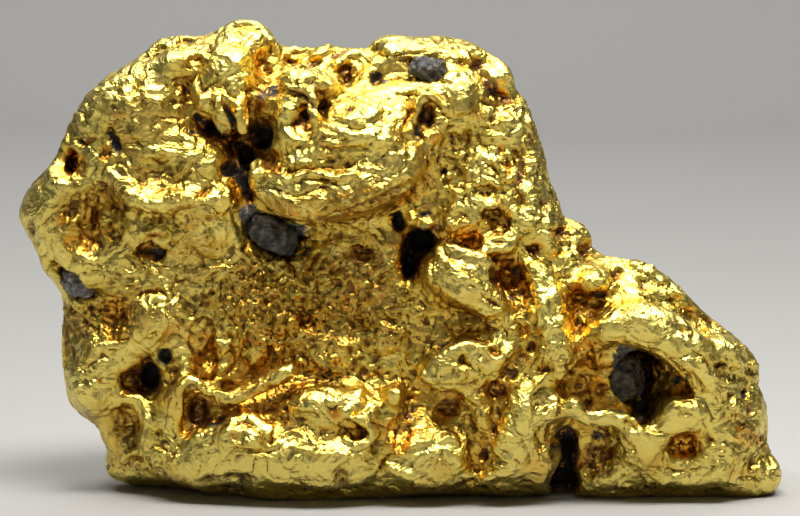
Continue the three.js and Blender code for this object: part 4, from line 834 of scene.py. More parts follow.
            (0.8, 1.2, [-98, 47.2, -96, 47.6, -94, 47]), (0.9, 1.3, [-90, 11.4, -87, 12, -85.4, 10.8]),
            (0.8, 1.2, [-81.6, 20.6, -81.4, 18]), (0.9, 1.2, [-84, 14, -81, 15.4, -78, 14, -75, 13]),
        ],
        "knobs": [
            (-96, 6.5, 3, 3, 0, 0.9), (-91, 6, 2, 2.4, 0, 0.8), (-87, 9, 2.2, 1.9, 0, 0.8),
            (-79.4, 42, 1.5, 1.5, 0, 0.9), (-77, 28, 2.4, 8, 0, 0.8), (-107, 33, 4.4, 5, 0, 0.8),
            (-101, 42, 3.4, 4, 0, 0.6),
        ],
        "pits": [
            (-99.5, 45, 1.3, 1.6, 0, 1.2), (-99.5, 40, 1.5, 0.8, 0, 0.9), (-99.5, 37.2, 1, 1.3, 0, 1.0),
            (-100.5, 32, 2.2, 1.8, 0, 1.6), (-89, 37, 5.4, 4.6, 0, 2.2), (-83, 39, 3, 5.6, 0, 4.0),
            (-78, 45, 2.6, 3.2, 0, 3.4), (-92, 20, 5.6, 6.6, 0, 1.4), (-67, 27, 5, 6.4, 0, 3.0),
            (-78, 5.5, 0.8, 1.3, 0, 1.6), (-79.5, 7.5, 1.5, 0.9, 0, 1.0), (-79, 16.5, 2.1, 0.9, 0, 1.4),
            (-76, 13, 1.8, 0.9, 0, 1.0), (-108.5, 46, 3, 6.4, 0, 1.6), (-62, 3.4, 6, 2.6, 0, 2.4),
        ],
        "stains": [
            (-108.5, 46, 3.6, 8, 0, 0.8), (-100.5, 32, 2.4, 2, 0, 0.9), (-89, 38, 6.4, 5.4, 0, 0.7),
            (-92, 20, 7, 7.6, 0, 0.6), (-67, 26, 5.4, 7, 0, 0.75), (-99.5, 45, 1.4, 1.7, 0, 0.6),
            (-105, 24, 5, 4, -35, 0.6), (-79, 16.5, 2.4, 1.1, 0, 0.9), (-76, 13, 2, 1, 0, 0.7),
            (-73, 4, 4, 3, 0, 0.6), (-99.5, 40, 1.6, 0.9, 0, 0.6),
        ],
        "voidShadeAndCrust": [
            (-83, 39, 3.4, 6.4, 0, 1.0), (-78, 45, 2.8, 3.6, 0, 0.95), (-62, 21.4, 3, 2.2, 30, 0.8),
            (-78, 5.5, 0.8, 1.3, 0, 0.9), (-62, 3.2, 7, 2.8, 0, 0.8), (-112, 40, 0.8, 9, 0, 0.5),
            (-101, 19, 5, 1.6, -35, 0.6),
        ],
        "ochreStainAndReflection": [
            (-99.5, 37.2, 1.2, 1.5, 0, 1.0), (-90, 33.6, 3.6, 1.7, 0, 1.0), (-72, 24, 1.6, 6, 0, 0.9),
            (-71, 20, 2.6, 2, 0, 1.0), (-66, 43, 5, 5, 0, 0.8), (-93.5, 32, 1, 0.8, 0, 0.8),
            (-94, 20, 3, 6, 0, 0.5), (-67, 30, 4, 4, 0, 0.5),
        ],
        "crinkle": [
            (-88, 8, 9, 6, 0, 0.7), (-78, 12, 6, 8, 0, 0.7), (-104, 38, 8, 10, 0, 0.4),
        ],
        "melt": [
            (-67, 28, 9, 11, 0, 0.8), (-88, 30, 12, 14, 0, 0.5), (-80, 10, 12, 8, 0, 0.5),
        ],
    },
    "front": {
        "rolls": [
            (1.6, 1.3, [-59, 18.6, -58, 23, -56, 25.8, -52, 26.8, -49, 25, -48, 22, -48.4, 18, -50, 16, -54,
                15.2, -58, 16, -59, 18.6]),
            (2.4, 1.3, [-60, 28, -56, 29.6, -51, 32, -46, 34.6, -42, 37, -39, 39, -37, 39.4, -36, 37]),
            (1.8, 1.3, [-17, 24.5, -13, 24, -9.6, 22, -7.6, 19.5, -8, 17, -11, 16, -15, 16, -20, 17]),
            (1.4, 1.6, [-6, 10, -3, 8.6, 1, 6.6, 5, 4.2, 8, 2.6]), (1.3, 1.0, [-9, 31, -8.5, 28, -8.5, 25]),
            (1.2, 1.0, [-30, 46, -26, 44, -22, 42, -19, 40.4]),
            (2.0, 1.0, [7.4, 41, 10, 43.6, 13, 46, 16, 47.6]),
        ],
        "folds": [
            (0.9, 0.8, [-11.4, 37.6, -10.6, 39.6, -9, 39, -8.4, 37.4]),
            (0.9, 0.8, [6, 45, 7, 48, 8.6, 47.4, 8, 45.4]),
            (0.9, 0.7, [-30, 12.4, -24, 12.8, -18, 12, -12, 10.6]), (0.9, 0.7, [-14, 9.4, -11, 9, -9, 9.6]),
            (0.9, 0.7, [-36, 5, -33, 6, -30, 8]), (1.0, 0.9, [-2, 24, -2.6, 19, -3.6, 14]),
            (1.0, 0.9, [1, 23, 1, 18, -0.4, 13]), (1.0, 0.9, [4, 20, 3.4, 15, 4, 11]),
            (0.9, 0.8, [-59, 44, -58, 49, -55.6, 50, -54, 47, -55, 41]),
            (0.9, 0.7, [-50, 12, -46, 13, -43, 10.6]), (0.9, 0.7, [-58, 12, -54, 13.4, -50, 12.6]),
            (1.0, 0.8, [-24.4, 44, -22, 45, -20.4, 43.6]),
            (0.9, 0.8, [-16, 41, -13, 42.6, -10, 41.4, -7, 43]),
            (0.9, 0.8, [-33, 38, -30, 37, -27, 38.6, -24, 37]), (0.9, 0.8, [-20, 37, -17, 36.4, -15, 38]),
            (0.9, 0.7, [-4, 39, -1, 40, 2, 38.6]),
        ],
        "creases": [
            (0.9, 1.4, [-56, 21.6, -54, 23, -51, 23.2, -49, 22]),
            (0.9, 1.4, [-42, 20.4, -42.6, 18, -44.2, 16.4]),
            (1.0, 1.8, [-45.6, 31, -43, 30, -40, 31, -37, 32.6]),
            (1.0, 1.6, [-36, 26, -33, 26.4, -29, 26.4, -27, 25.4]),
            (0.9, 1.2, [-36, 33, -33, 34.4, -29, 34.8, -24, 33.8, -21, 31]),
            (0.9, 1.3, [-24, 28.6, -21.6, 28, -20.6, 29.2]),
            (1.0, 1.7, [-16.4, 25.8, -13.6, 27, -11.4, 27.5, -10.6, 28.2]),
            (1.1, 2.0, [-18, 24, -14.6, 22, -12, 20.4, -10.4, 19.4]),
            (0.9, 1.4, [-10, 24, -7.6, 23, -5, 21.6, -4, 21]),
            (1.0, 1.8, [-4, 13, -6, 10.6, -7, 7.6, -8, 5.4]),
            (1.0, 1.3, [-58, 14.6, -50, 14, -44, 13.4, -40, 15]), (0.8, 1.0, [-40, 35, -38, 33.6, -36.6, 35]),
            (0.8, 1.0, [-30, 20, -28.6, 17.6, -25, 17]),
        ],
        "knobs": [
            (-52, 20, 2.4, 1.9, 0, 0.8), (-44.4, 20.4, 2.4, 2.4, 0, 1.2), (-40, 17, 2.4, 2.2, -45, 0.9),
            (-30, 29, 6.4, 4, -10, 1.2), (-26, 22, 4.2, 3, -10, 1.2), (-13.4, 34, 1.8, 2.8, 0, 1.5),
            (-13.4, 18, 2.3, 1.4, 0, 0.9), (-1.6, 33, 3.4, 2.1, -15, 1.3), (-31, 17, 6, 3.6, 0, 0.8),
            (8, 38, 2.4, 2.8, 0, 0.8), (-44, 39, 1, 1.2, 0, 0.7), (-51, 31.6, 2, 1.2, 20, 0.5),
            (-20, 30.4, 2.4, 1.2, -20, 0.6),
        ],
        "pits": [
            (-55.5, 17.7, 1.9, 0.9, 20, 1.4), (-46.8, 32.4, 0.9, 0.9, 0, 1.0),
            (-35.4, 31.2, 1.7, 1.0, 45, 2.4), (-45, 28, 9, 2.0, -3, 3.0), (-42, 24.6, 6, 2.4, 0, 1.6),
            (-59, 24, 2.2, 1.8, 45, 2.4), (-33, 24.2, 2.8, 1.1, 0, 1.4), (-13.6, 20.6, 2.8, 1.3, -30, 1.6),
            (-18.6, 21.6, 1.8, 1.4, 0, 1.2), (3.3, 31.8, 1.5, 1.2, 0, 1.2), (4.6, 27.6, 1.9, 1.1, -20, 2.0),
            (2.4, 25.4, 2.4, 2.6, 0, 1.4), (0, 19.6, 4.6, 6.6, 0, 1.6), (-7, 16, 1.8, 1.1, 0, 1.0),
            (-54.5, 3.2, 6.6, 3.6, 0, 3.0), (-19.6, 4.6, 3.2, 5, 0, 2.0), (-26, 41.6, 3.8, 1.2, 0, 1.4),
            (-10.4, 37.6, 1, 0.8, 0, 0.7), (-22, 26.4, 2, 2, 0, 1.0),
        ],
        "stains": [
            (-40, 28.4, 5, 1.4, 0, 0.6), (-59, 24, 2.6, 2, 45, 0.9), (-33, 24.4, 3, 1.2, 0, 0.8),
            (-18.6, 21.6, 2, 1.5, 0, 0.7), (3, 26, 3, 3.4, 0, 0.7), (-7, 16, 2, 1.2, 0, 0.8),
            (-20, 5, 3.6, 5.4, 0, 0.8), (-26, 41.6, 4, 1.3, 0, 0.7), (-6, 21.8, 3, 0.8, -25, 0.6),
            (-54, 4, 7.4, 3.8, 0, 0.6), (-22, 27.6, 2, 1, 0, 0.5), (-50, 49, 1.6, 8, 5, 0.5),
        ],
        "voidShadeAndCrust": [
            (-54.5, 2.6, 7, 3.2, 0, 0.85), (-35.2, 31.2, 1.9, 1.1, 45, 0.9), (4.6, 27.8, 1.9, 1.0, -20, 0.9),
            (-16.4, 4, 1.2, 5, 10, 0.7), (0, 45, 0.8, 0.8, 0, 0.8), (-7.2, 8, 0.8, 2, -20, 0.7),
            (-42, 30.4, 4, 0.6, 5, 0.6),
        ],
        "ochreStainAndReflection": [
            (-45, 27.6, 10, 2.8, -3, 1.0), (-41, 24, 6, 2.6, 0, 0.9), (0, 19, 5.4, 8, 0, 0.95),
            (-43, 17.6, 1.6, 3, -30, 0.8), (-55.4, 17.8, 2.2, 1.1, 20, 0.9), (3.3, 31.8, 1.7, 1.4, 0, 1.0),
            (-21, 26, 2.4, 2.6, 0, 0.8), (-30, 36, 6, 2.4, 0, 0.6), (-52.6, 22.6, 3.6, 0.9, 5, 0.7),
            (-50, 44, 8, 8, 0, 0.6), (-8, 40, 8, 3, 0, 0.4), (-32, 4, 8, 2, 0, 0.3),
        ],
        "crinkle": [
            (-20, 42, 22, 6, 0, 1.0), (0, 40, 8, 5, 0, 0.9), (0, 18, 6, 9, 0, 0.6), (-44, 35, 10, 4, 25, 0.5),
        ],
        "melt": [
            (-45, 26, 22, 14, 0, 0.9), (-15, 24, 16, 13, 0, 0.9),
        ],
        "amberShade": [
            (-30, 62, 42, 20, 0, 0.8),
        ],
    },
    "middle": {
        "rolls": [
            (1.9, 1.1, [10, 42, 13, 44.2, 16, 46.6, 19, 49]),
            (1.4, 1.3, [20, 50, 23, 49.6, 26, 48.6, 28, 47.4, 30, 45, 32, 44, 35, 44.6, 37, 48, 38, 50.4]),
            (1.4, 1.1, [26, 44.6, 28, 43, 29.6, 41.6, 33, 42, 36, 43]),
            (2.6, 1.3, [21.6, 33, 24, 31.6, 27, 30.4, 28.6, 27, 28.8, 23.4, 28, 20.6]),
            (3.6, 1.4, [47, 35, 44, 34.4, 42, 31.6, 40, 28, 38, 24, 36, 20, 34, 17, 33, 14.6]),
            (1.4, 1.1, [52, 33.6, 52.8, 30, 52, 26.6, 49.6, 25, 46, 25]),
            (1.9, 1.0, [43, 37, 46, 38.6, 50, 39, 54, 38.2, 57, 37, 59, 40, 60, 42]),
            (1.4, 1.5, [24, 2.2, 29, 4.6, 33, 6, 37, 6.6]), (1.2, 1.2, [30.6, 15.4, 33, 13, 36, 11, 38, 10]),
            (1.6, 1.1, [46, 47.4, 49, 44.6, 51.6, 42.8, 54, 43, 56, 43.4]),
        ],
        "folds": [
            (0.9, 0.9, [32, 36, 35, 36.6, 38, 36, 41, 36.6]), (1.0, 0.8, [22, 25, 21.6, 20, 21, 15]),
            (0.9, 0.8, [14, 16.4, 15, 18.2, 17, 17.6, 17.6, 16]),
            (0.9, 0.8, [43.4, 31, 42.6, 28, 43, 25, 42.6, 22, 41.6, 20]),
            (0.9, 0.8, [62, 7, 66, 6.6, 69, 8, 71, 11]), (0.9, 0.8, [63, 34, 65, 32, 66, 29.6]),
            (0.9, 0.8, [22, 38, 20, 41, 17, 42]), (0.9, 0.7, [11, 38, 14, 37, 17, 38.4]),
            (0.9, 0.8, [30, 9, 33, 8.4, 36, 8]), (0.9, 0.8, [34, 20, 37, 18.4, 40, 18]),
            (0.9, 0.8, [52, 49, 53, 47, 51.6, 45.4]), (0.9, 0.8, [45, 12, 48, 10, 50, 7]),
            (0.9, 0.7, [61, 14, 63, 11, 62, 8]), (0.9, 0.8, [58, 51, 61, 46, 62, 41]),
            (0.9, 0.8, [64, 50, 66, 45, 66, 40]),
        ],
        "creases": [
            (1.0, 1.7, [21, 46.4, 20.6, 43.8, 23, 43, 25, 41]),
            (1.9, 2.8, [44, 50, 42, 46.4, 39.6, 43.6, 36, 41, 33, 39]),
            (0.9, 1.6, [46, 41.2, 48.6, 41, 51, 41.4]), (1.0, 1.8, [52, 42, 55, 42, 57.6, 41.4]),
            (1.0, 1.8, [20, 32, 21.6, 28, 23, 24, 24.2, 20.6, 27, 18.6, 29.6, 17.4]),
            (1.0, 2.0, [31, 29, 30.6, 25, 31.2, 21, 31, 17.4]),
            (0.8, 1.0, [13, 21, 12.6, 17, 13.4, 13, 12, 8]), (0.8, 1.0, [17, 21, 19.6, 18.4, 20.8, 14]),
            (0.8, 0.9, [16, 8, 18, 5.6, 21, 4]), (0.8, 1.0, [38, 11, 40, 8.6, 41.4, 8]),
            (1.0, 1.6, [49.6, 34, 46, 33, 44.4, 31.4]), (0.8, 1.0, [12, 36, 18, 35.6, 24, 36, 28, 38.4]),
            (1.0, 1.4, [45, 20, 47, 16, 46, 11]), (1.2, 2.2, [53.6, 32, 53.6, 28, 52.8, 25]),
        ],
        "knobs": [
            (18, 40, 5.4, 3, 0, 0.9), (35.6, 45.6, 1.7, 2, 0, 0.8), (43, 44.6, 2.2, 2.2, 0, 1.2),
            (47.6, 43.6, 1.8, 1.3, 0, 0.8), (52, 47.4, 3, 3.4, 0, 0.9), (25, 31, 2.8, 1.8, 0, 0.7),
            (28, 26, 2.2, 4, 0, 0.7), (15, 13, 7, 8.4, 0, 0.9), (45, 35, 2.8, 1.7, 0, 0.9),
            (53.6, 14, 1.2, 2.2, 0, 1.2), (57.6, 29, 3.2, 4.2, 0, 1.5), (54, 37.8, 1.6, 1.2, 0, 0.6),
            (57, 38, 1.1, 1.8, 0, 0.7), (44, 8, 4, 5, 0, 0.7), (67.6, 56, 2.1, 1.7, 0, 1.0),
        ],
        "pits": [
            (14, 48.8, 2.3, 0.8, 40, 2.0), (32, 47, 2.3, 1.8, 0, 1.3), (29.6, 44, 1.8, 0.9, 0, 0.9),
            (21, 44.2, 1.4, 1.4, 0, 1.4), (36, 39.2, 3.8, 1.8, 20, 2.4), (43.6, 48.6, 1.8, 2.3, 0, 2.4),
            (32, 34, 5.4, 3.6, -10, 2.6), (37, 33, 1.4, 0.9, 0, 1.0), (31.6, 20.6, 1, 2.4, 0, 1.6),
            (46, 28.6, 1.5, 1.4, 0, 1.8), (49.6, 31.6, 0.9, 1.1, 0, 1.0), (28, 12, 1.8, 2.3, 0, 2.0),
            (29.6, 15.6, 1.2, 1.1, 0, 1.3), (54.8, 14, 4.6, 9.4, 0, 5.0), (54.4, 4, 5.4, 7, 0, 5.0),
            (62.6, 29, 1.9, 2.8, 0, 2.2), (67, 19, 3.6, 2.2, 0, 1.8), (56, 40, 1.1, 0.9, 0, 0.9),
            (62, 47, 4.4, 4.6, 0, 1.2), (66, 10, 6, 7, 0, 1.2), (16, 28, 4.4, 4, 0, 1.2),
        ],
        "stains": [
            (36, 39.4, 4.4, 2.2, 20, 0.95), (43.6, 48.4, 2.2, 2.8, 0, 0.95), (40, 43.6, 3, 1.6, 45, 0.9),
            (32, 33.6, 5.4, 3.6, -10, 0.6), (21, 44.4, 1.8, 1.8, 0, 0.8), (55, 42, 3, 0.9, 0, 0.9),
            (56, 40, 1.2, 1, 0, 0.9), (31.6, 20.6, 1.1, 2.6, 0, 0.8), (46, 28.6, 1.6, 1.5, 0, 0.8),
            (28, 12, 2, 2.6, 0, 0.85), (29.6, 15.6, 1.4, 1.2, 0, 0.9), (62.6, 29, 2.1, 3, 0, 0.85),
            (66, 10, 7, 9, 0, 0.6), (16, 28, 5.4, 4.6, 0, 0.55), (53.4, 28, 1.2, 4, 0, 0.9),
            (48, 16, 2.4, 5, 0, 0.4), (30, 46, 2, 2, 0, 0.3),
        ],
        "voidShadeAndCrust": [
            (54.8, 14, 5.4, 10, 0, 1.0), (54.4, 5, 6, 8, 0, 1.0), (14, 48.8, 2.6, 0.9, 40, 0.95),
            (67, 19.4, 4, 2.4, 0, 0.8), (48.6, 41, 2.4, 0.6, 5, 0.8), (63, 2.6, 4, 1.6, 0, 0.5),
            (53.6, 26, 0.9, 2.4, 0, 0.7),
        ],
        "ochreStainAndReflection": [
            (32, 46.8, 2.6, 2, 0, 0.9), (29.6, 44, 2, 1, 0, 0.8), (32, 34, 6, 4, -10, 0.8),
            (38, 36, 3, 1.6, 0, 0.8), (43, 44, 2.6, 2.4, 0, 0.8), (53.6, 14, 1.4, 2.4, 0, 0.9),
            (49, 19, 2.6, 5, 0, 0.7), (62, 46, 5.4, 6.4, 0, 0.85), (44, 8, 5, 6, 0, 0.5),
            (13, 1.6, 4.4, 1.6, 0, 0.8), (61, 10, 1.8, 4.6, 0, 0.7), (26, 8, 2, 4, 0, 0.6),
            (47, 26, 3, 3, 0, 0.4), (60, 61.4, 5, 2, 0, 0.8),
        ],
        "mineral": [
            (66, 19.6, 3, 1.6, 0, 0.6),
        ],
        "crinkle": [
            (15, 13, 8, 10, 0, 0.5), (52, 46, 5, 5, 0, 0.8), (18, 40, 8, 4, 0, 0.5), (66, 10, 7, 9, 0, 0.8),
            (52, 39, 8, 3, 0, 0.7),
        ],
        "melt": [
            (34, 28, 18, 20, 0, 0.85), (14, 24, 8, 14, 0, 0.6),
        ],
    },
    "wing": {
        "rolls": [
            (1.9, 1.0, [84.6, 29, 88, 31, 92, 32, 95, 34.4, 98, 35, 100, 33]),
            (1.7, 1.2, [64, 30, 68, 30, 72, 30.6, 74.6, 31, 76, 28, 77.6, 25, 80, 21.6, 82, 21.6, 84, 24]),
            (1.5, 0.9, [77, 18, 80, 19.6, 83, 19, 86, 18, 87.6, 16.4]),
            (1.6, 1.0, [89, 13, 91, 10.6, 95, 9.8, 100, 10.6, 102, 13]),
            (1.8, 0.9, [58, 69.4, 62, 70.4, 66, 70, 69, 67.6]), (1.6, 0.9, [99, 51.4, 103, 52.6, 108, 51.6]),
        ],
        "folds": [
            (1.0, 0.9, [110, 40, 112, 40.6, 114, 39, 117, 37, 118.4, 35]),
            (1.0, 0.9, [103, 39, 105, 38, 107, 37, 108, 35.6, 111, 35.6, 113, 35]),
            (1.0, 0.8, [102, 14, 105, 15, 109, 14, 112, 12]), (1.0, 0.8, [104, 12.8, 108, 12.4, 112, 11.2]),
            (1.0, 0.8, [63, 24, 66, 24.6, 69, 25.6, 72, 27]), (1.0, 0.9, [92, 19, 92, 14, 93.6, 11]),
            (1.0, 0.9, [96, 20, 95.6, 15, 96.4, 11]), (1.0, 0.9, [99, 19, 98.6, 15, 99.4, 12]),
            (1.0, 0.8, [58, 59, 61, 57.6, 64, 55, 66, 53]), (1.0, 0.8, [110, 47, 113, 48.4, 116, 47.4]),
            (1.0, 0.8, [115, 42.6, 118, 43, 121, 41.4]), (1.0, 0.8, [90, 8.6, 95, 8, 99, 9, 101, 7]),
            (1.0, 0.8, [72, 12, 76, 13, 80, 11.6]), (1.0, 0.8, [93, 44, 94, 42, 97, 43]),
            (1.0, 0.8, [78, 66, 82, 65.4, 86, 66.4]), (1.0, 0.8, [90, 67, 93, 66, 94.6, 63.6]),
            (1.0, 0.8, [113, 20, 116, 21, 119, 19.6]),
        ],
        "creases": [
            (0.9, 1.6, [97, 47.6, 100, 46, 102, 45, 103, 42.6, 103.6, 40]),
            (0.9, 1.3, [93.6, 55, 94.6, 54, 96, 54.6, 97, 52.6]),
            (1.4, 2.0, [78, 72.4, 80.4, 70.8, 84, 70, 88, 68.2, 90.4, 66]),
            (1.4, 2.0, [90.4, 64, 93, 61, 97, 60.6, 101, 57.2, 106, 54.4, 109, 53.4]),
            (0.8, 1.0, [75, 76, 78, 74, 82, 72.6, 86, 70.6]), (0.9, 1.3, [92, 27, 95, 26, 99, 25.6]),
            (1.0, 1.6, [94, 40, 97, 38.6, 98, 37, 100, 35.4, 101.4, 32.6]),
            (0.9, 1.2, [75, 24, 77, 22.6, 79.6, 20.6]), (0.9, 1.2, [82, 6, 84, 4, 85, 1.6]),
            (0.8, 1.0, [78, 10, 83, 8.2, 88, 7.6]), (0.8, 1.0, [110, 51, 112, 49.4, 114, 47.6, 117, 46.6]),
            (0.8, 1.0, [102, 31, 103, 27, 105, 24]), (0.9, 1.2, [112, 4, 116, 5.4, 120, 4]),
        ],
        "knobs": [
            (66, 72.6, 4.6, 2, 0, 1.0), (81, 60.4, 6.6, 3.4, -10, 0.8), (97.6, 41.4, 5, 3.4, -15, 0.9),
            (92, 28.4, 6, 3, 5, 0.8), (72, 24.4, 4, 2.6, 0, 0.8), (82, 14, 5.4, 3.4, 0, 0.7),
            (105, 9, 5.6, 6.4, 0, 0.8), (111.6, 33, 1.4, 1.5, 0, 1.1), (111.6, 29, 1.4, 1.9, 0, 0.9),
            (114, 26.6, 1.4, 1.6, 0, 1.1), (119.4, 30, 1.6, 3.4, 0, 0.8), (117, 16, 1.7, 2.6, 0, 0.8),
            (125, 8, 2.2, 4.4, 0, 0.9), (88, 1.8, 2.8, 1.5, 0, 0.8), (103, 52.4, 4.4, 1.6, -8, 0.7),
        ],
        "pits": [
            (61.6, 71.4, 0.7, 0.5, 0, 0.8), (66, 65.6, 3.6, 1.2, -5, 2.2), (73.4, 66.2, 0.8, 0.9, 0, 1.0),
            (72.4, 73, 2.3, 2.3, 0, 1.6), (81.4, 68.4, 2.1, 2.1, 0, 1.8), (106.4, 42, 2.8, 1.5, 0, 2.0),
            (115, 45, 3.2, 1.6, -25, 1.5), (112, 38.4, 2.8, 0.8, -15, 1.5), (114.4, 33, 1.8, 2.5, 0, 2.6),
            (110, 31.4, 1.1, 1.7, 0, 1.8), (116.4, 27.4, 1.6, 2.3, 0, 1.8), (113.4, 24, 1.7, 0.9, 0, 1.2),
            (117, 9.4, 1.3, 3.3, 0, 1.8), (95, 16, 5.4, 4.8, 0, 2.2), (90.4, 15.6, 1.1, 0.8, 0, 1.0),
            (102.6, 18, 2.2, 2.4, 0, 1.4), (67.4, 34.4, 2.8, 2.3, 0, 1.6), (80, 37.4, 2.2, 1.4, 0, 2.0),
            (95.4, 38.2, 1.2, 0.9, 0, 1.6), (91.6, 37.4, 2.6, 1.8, 0, 1.8), (75, 42, 4, 7, 0, 2.4),
            (80, 30, 3.2, 5, 0, 2.2), (86, 39, 5, 3.4, -25, 1.8),
        ],
        "stains": [
            (66, 65.6, 3.8, 1.3, -5, 0.95), (81.4, 68.4, 2.4, 2.4, 0, 0.9), (72, 72.6, 1.6, 2, 0, 0.7),
            (106.4, 42, 3, 1.7, 0, 0.9), (115, 45, 3.6, 2, -25, 0.7), (112, 38.4, 3, 0.9, -15, 0.8),
            (114.4, 33, 2, 2.8, 0, 0.95), (110, 31.4, 1.2, 1.8, 0, 0.95), (116.4, 27.4, 1.8, 2.5, 0, 0.9),
            (113.4, 24, 1.8, 1, 0, 0.8), (117, 9.4, 1.5, 3.6, 0, 0.95), (102.6, 18, 2.4, 2.6, 0, 0.8),
            (90.4, 15.6, 1.2, 0.9, 0, 0.9), (95, 21, 3, 1.8, 0, 0.6), (67.4, 34.4, 3, 2.5, 0, 0.8),
            (104, 55.6, 4, 0.9, -25, 0.7), (88, 34.4, 4, 1.8, 0, 0.6), (84, 70, 5, 1, -15, 0.6),
            (80, 5, 6, 3, 0, 0.4), (65, 78.6, 2, 1.6, 0, 0.6),
        ],
        "voidShadeAndCrust": [
            (73.6, 42, 3.4, 7, 0, 0.85), (76, 47, 4, 2.8, 0, 0.8), (80, 37.4, 2.4, 1.6, 0, 1.0),
            (73.4, 34, 1.6, 2, 0, 0.9), (80.4, 30, 3.6, 5, 0, 0.85), (92, 37.4, 3, 1.8, 0, 0.8),
            (95.4, 38.2, 1.3, 0.9, 0, 0.9), (108.6, 42.8, 0.9, 1, 0, 0.8), (66, 65.4, 2.6, 0.8, -5, 0.7),
            (114.6, 33, 1.4, 2, 0, 0.7),
        ],
        "ochreStainAndReflection": [
            (95, 16, 6, 5.6, 0, 1.0), (85, 41, 5, 3, -25, 0.9), (96, 60, 3.6, 2.6, -20, 0.8),
            (101, 57.4, 3, 1.4, -30, 0.8), (72.6, 73, 2.8, 2.8, 0, 0.8), (115, 19, 4.6, 4.6, 0, 0.9),
            (123.6, 10, 1.1, 4, 0, 0.8), (67, 35, 4, 4, 0, 0.8), (78, 22.4, 2, 3, -30, 0.7),
            (76, 69, 3, 1.4, 0, 0.7), (106.6, 33, 2.4, 2, 0, 0.5), (112, 25, 3, 2, 0, 0.6),
            (66, 44, 4, 6, 0, 0.7), (120, 17, 2, 4, 20, 0.6),
        ],
        "mineral": [
            (75, 44, 4.4, 6, 0, 0.9), (80.6, 24.6, 2, 1.6, 0, 0.8), (79, 33, 3, 3, 0, 0.7),
        ],
        "crinkle": [
            (112, 36, 9, 12, 0, 0.7), (84, 72, 14, 4, -30, 0.6), (80, 6, 20, 6, 0, 0.6),
            (118, 12, 6, 10, 0, 0.5),
        ],
        "melt": [
            (68, 27, 8, 5, 0, 0.7), (80, 20, 8, 6, 0, 0.6), (80, 58, 14, 6, -10, 0.4),
        ],
    },
    "overAll": {
        "fills": [
            (-22, 111.4, 21, 4.6, 4, 1.0), (-36, 124.6, 6.4, 7.6, 0, 0.85), (-30, 117, 9, 4, 0, 0.8),
            (10, 125, 6.4, 8.4, 0, 0.55), (-67, 28, 6, 7.4, 0, 0.4), (-45, 27.6, 9, 2.6, -3, 0.4),
            (36, 36, 8, 5, 0, 0.4),
        ],
        "melt": [
            (-57, 128, 12, 10, 0, 0.7), (-12, 120, 16, 5, 0, 0.6), (17, 74, 6, 6, 0, 0.7),
            (46, 62, 6, 12, 0, 0.7), (-16, 110, 30, 12, 0, 0.5),
        ],
        "crinkle": [
            (-26, 62, 38, 20, 0, 0.6), (36, 112, 14, 26, 0, 0.5), (-102, 92, 14, 14, 0, 0.4),
        ],
        "amberShade": [
            (-20, 78, 34, 12, 0, 0.8), (-102, 92, 14, 14, 0, 0.8), (-74, 78, 20, 12, 0, 0.5),
            (-96, 62, 14, 14, 0, 0.5), (-16, 106, 26, 6, 0, 0.3), (66, 44, 8, 12, 0, 0.5),
            (-22, 96, 30, 7, 8, 0.8), (-84, 118, 26, 22, 30, 0.3),
        ],
    },
}


nuggetShape = {
    "voxel": 0.00078,
    "melting": 40,  # smoothing passes that melt the facets together
    "settling": 12,  # smoothing passes once hollows are filled
    "fillReach": 0.026,  # how far behind the front a fill mark still moves the surface, in metres
    "melted": 150,  # smoothing passes at the places that the melt marks name
    "flow": 24,  # smoothing passes behind the directions that broad marks are raised in
    "broad": 200,  # smoothing passes behind the broad form that hollows are told from
    "hollow": 4.0,  # how much deeper than the broad form a full hollow is, in millimetres
    "level": 0.3,  # the hollowness of a place that is level with the broad form
    "wander": 1.1,  # how far the marks stray from their paths, in millimetres
    "strayLength": 0.0055,  # over what length they stray, in metres
    "narrow": 1.35,  # paths with a smaller half width are made in a pass of their own
    "margin": 1.5,  # how far past its half width a path reaches, in millimetres
    "ledgeFall": 0.7,  # width of a ledge's steep side
    "pitEdge": (1.2, 0.18),  # where the raised edge of a pit stands and how wide it is, in radii
    "pitEdgeHeight": (0.22, 1.6),  # as a share of the depth, and the most depth that counts
    "calm": 0.35,  # how much weaker the noise is where marks were read from the photo
    "rim": 0.005,  # how far up from the floor the rim is drawn in, in metres
    "noise": {  # spacing in metres, warp and shift, then half width of the ridges that are made of it
        "waves": (0.011, 0.6, 3.0),
        "rim": (0.008, 0.5, 13.0),
        "folds": (0.0075, 0.9, 0.0, 0.10),
        "small": (0.0036, 0.9, 5.0, 0.13),
        "net": (0.0048, 1.1, 9.0, 0.09),
        "creases": (0.013, 1.2, 7.0, 0.03),
    },
    "dents": (0.0065, 0.3),  # spacing, and how wide their edges are as a share of it
    "heights": {  # millimetres; of a pair, the second grows with how hollow or uneven the place is
        "waves": 0.9,
        "rim": (0.2, 2.2),
        "folds": (0.15, 0.9),
        "dents": 0.3,
        "small": (0.14, 0.6),
        "net": 1.1,
        "crumple": 0.4,
        "creases": 0.8,
    },
    "spare": 0.0005,  # how much more the seen side is spared when the mesh is thinned
    "triangles": 195000,
    "shutReach": 0.016,  # how far off a wall still shuts a point in, in metres
    "shutRays": 9,
    "shutLift": 0.0003,  # where those rays start above the surface, in metres
    "crack": (0.5, 0.4),  # the depth of a full crack in millimetres, and the value of an even place
}


def noiseAt(points, spacing, warp, shift):
    made = np.empty(len(points))
    for i, point in enumerate(points / spacing + shift):
        place = Vector(point)
        if warp:
            place += noise.noise_vector(place * 0.7) * warp
        made[i] = noise.noise(place)
    return made


def ridgesAt(points, name):
    spacing, warp, shift, width = nuggetShape["noise"][name]
    return np.exp(-(noiseAt(points, spacing, warp, shift) / width) ** 2)


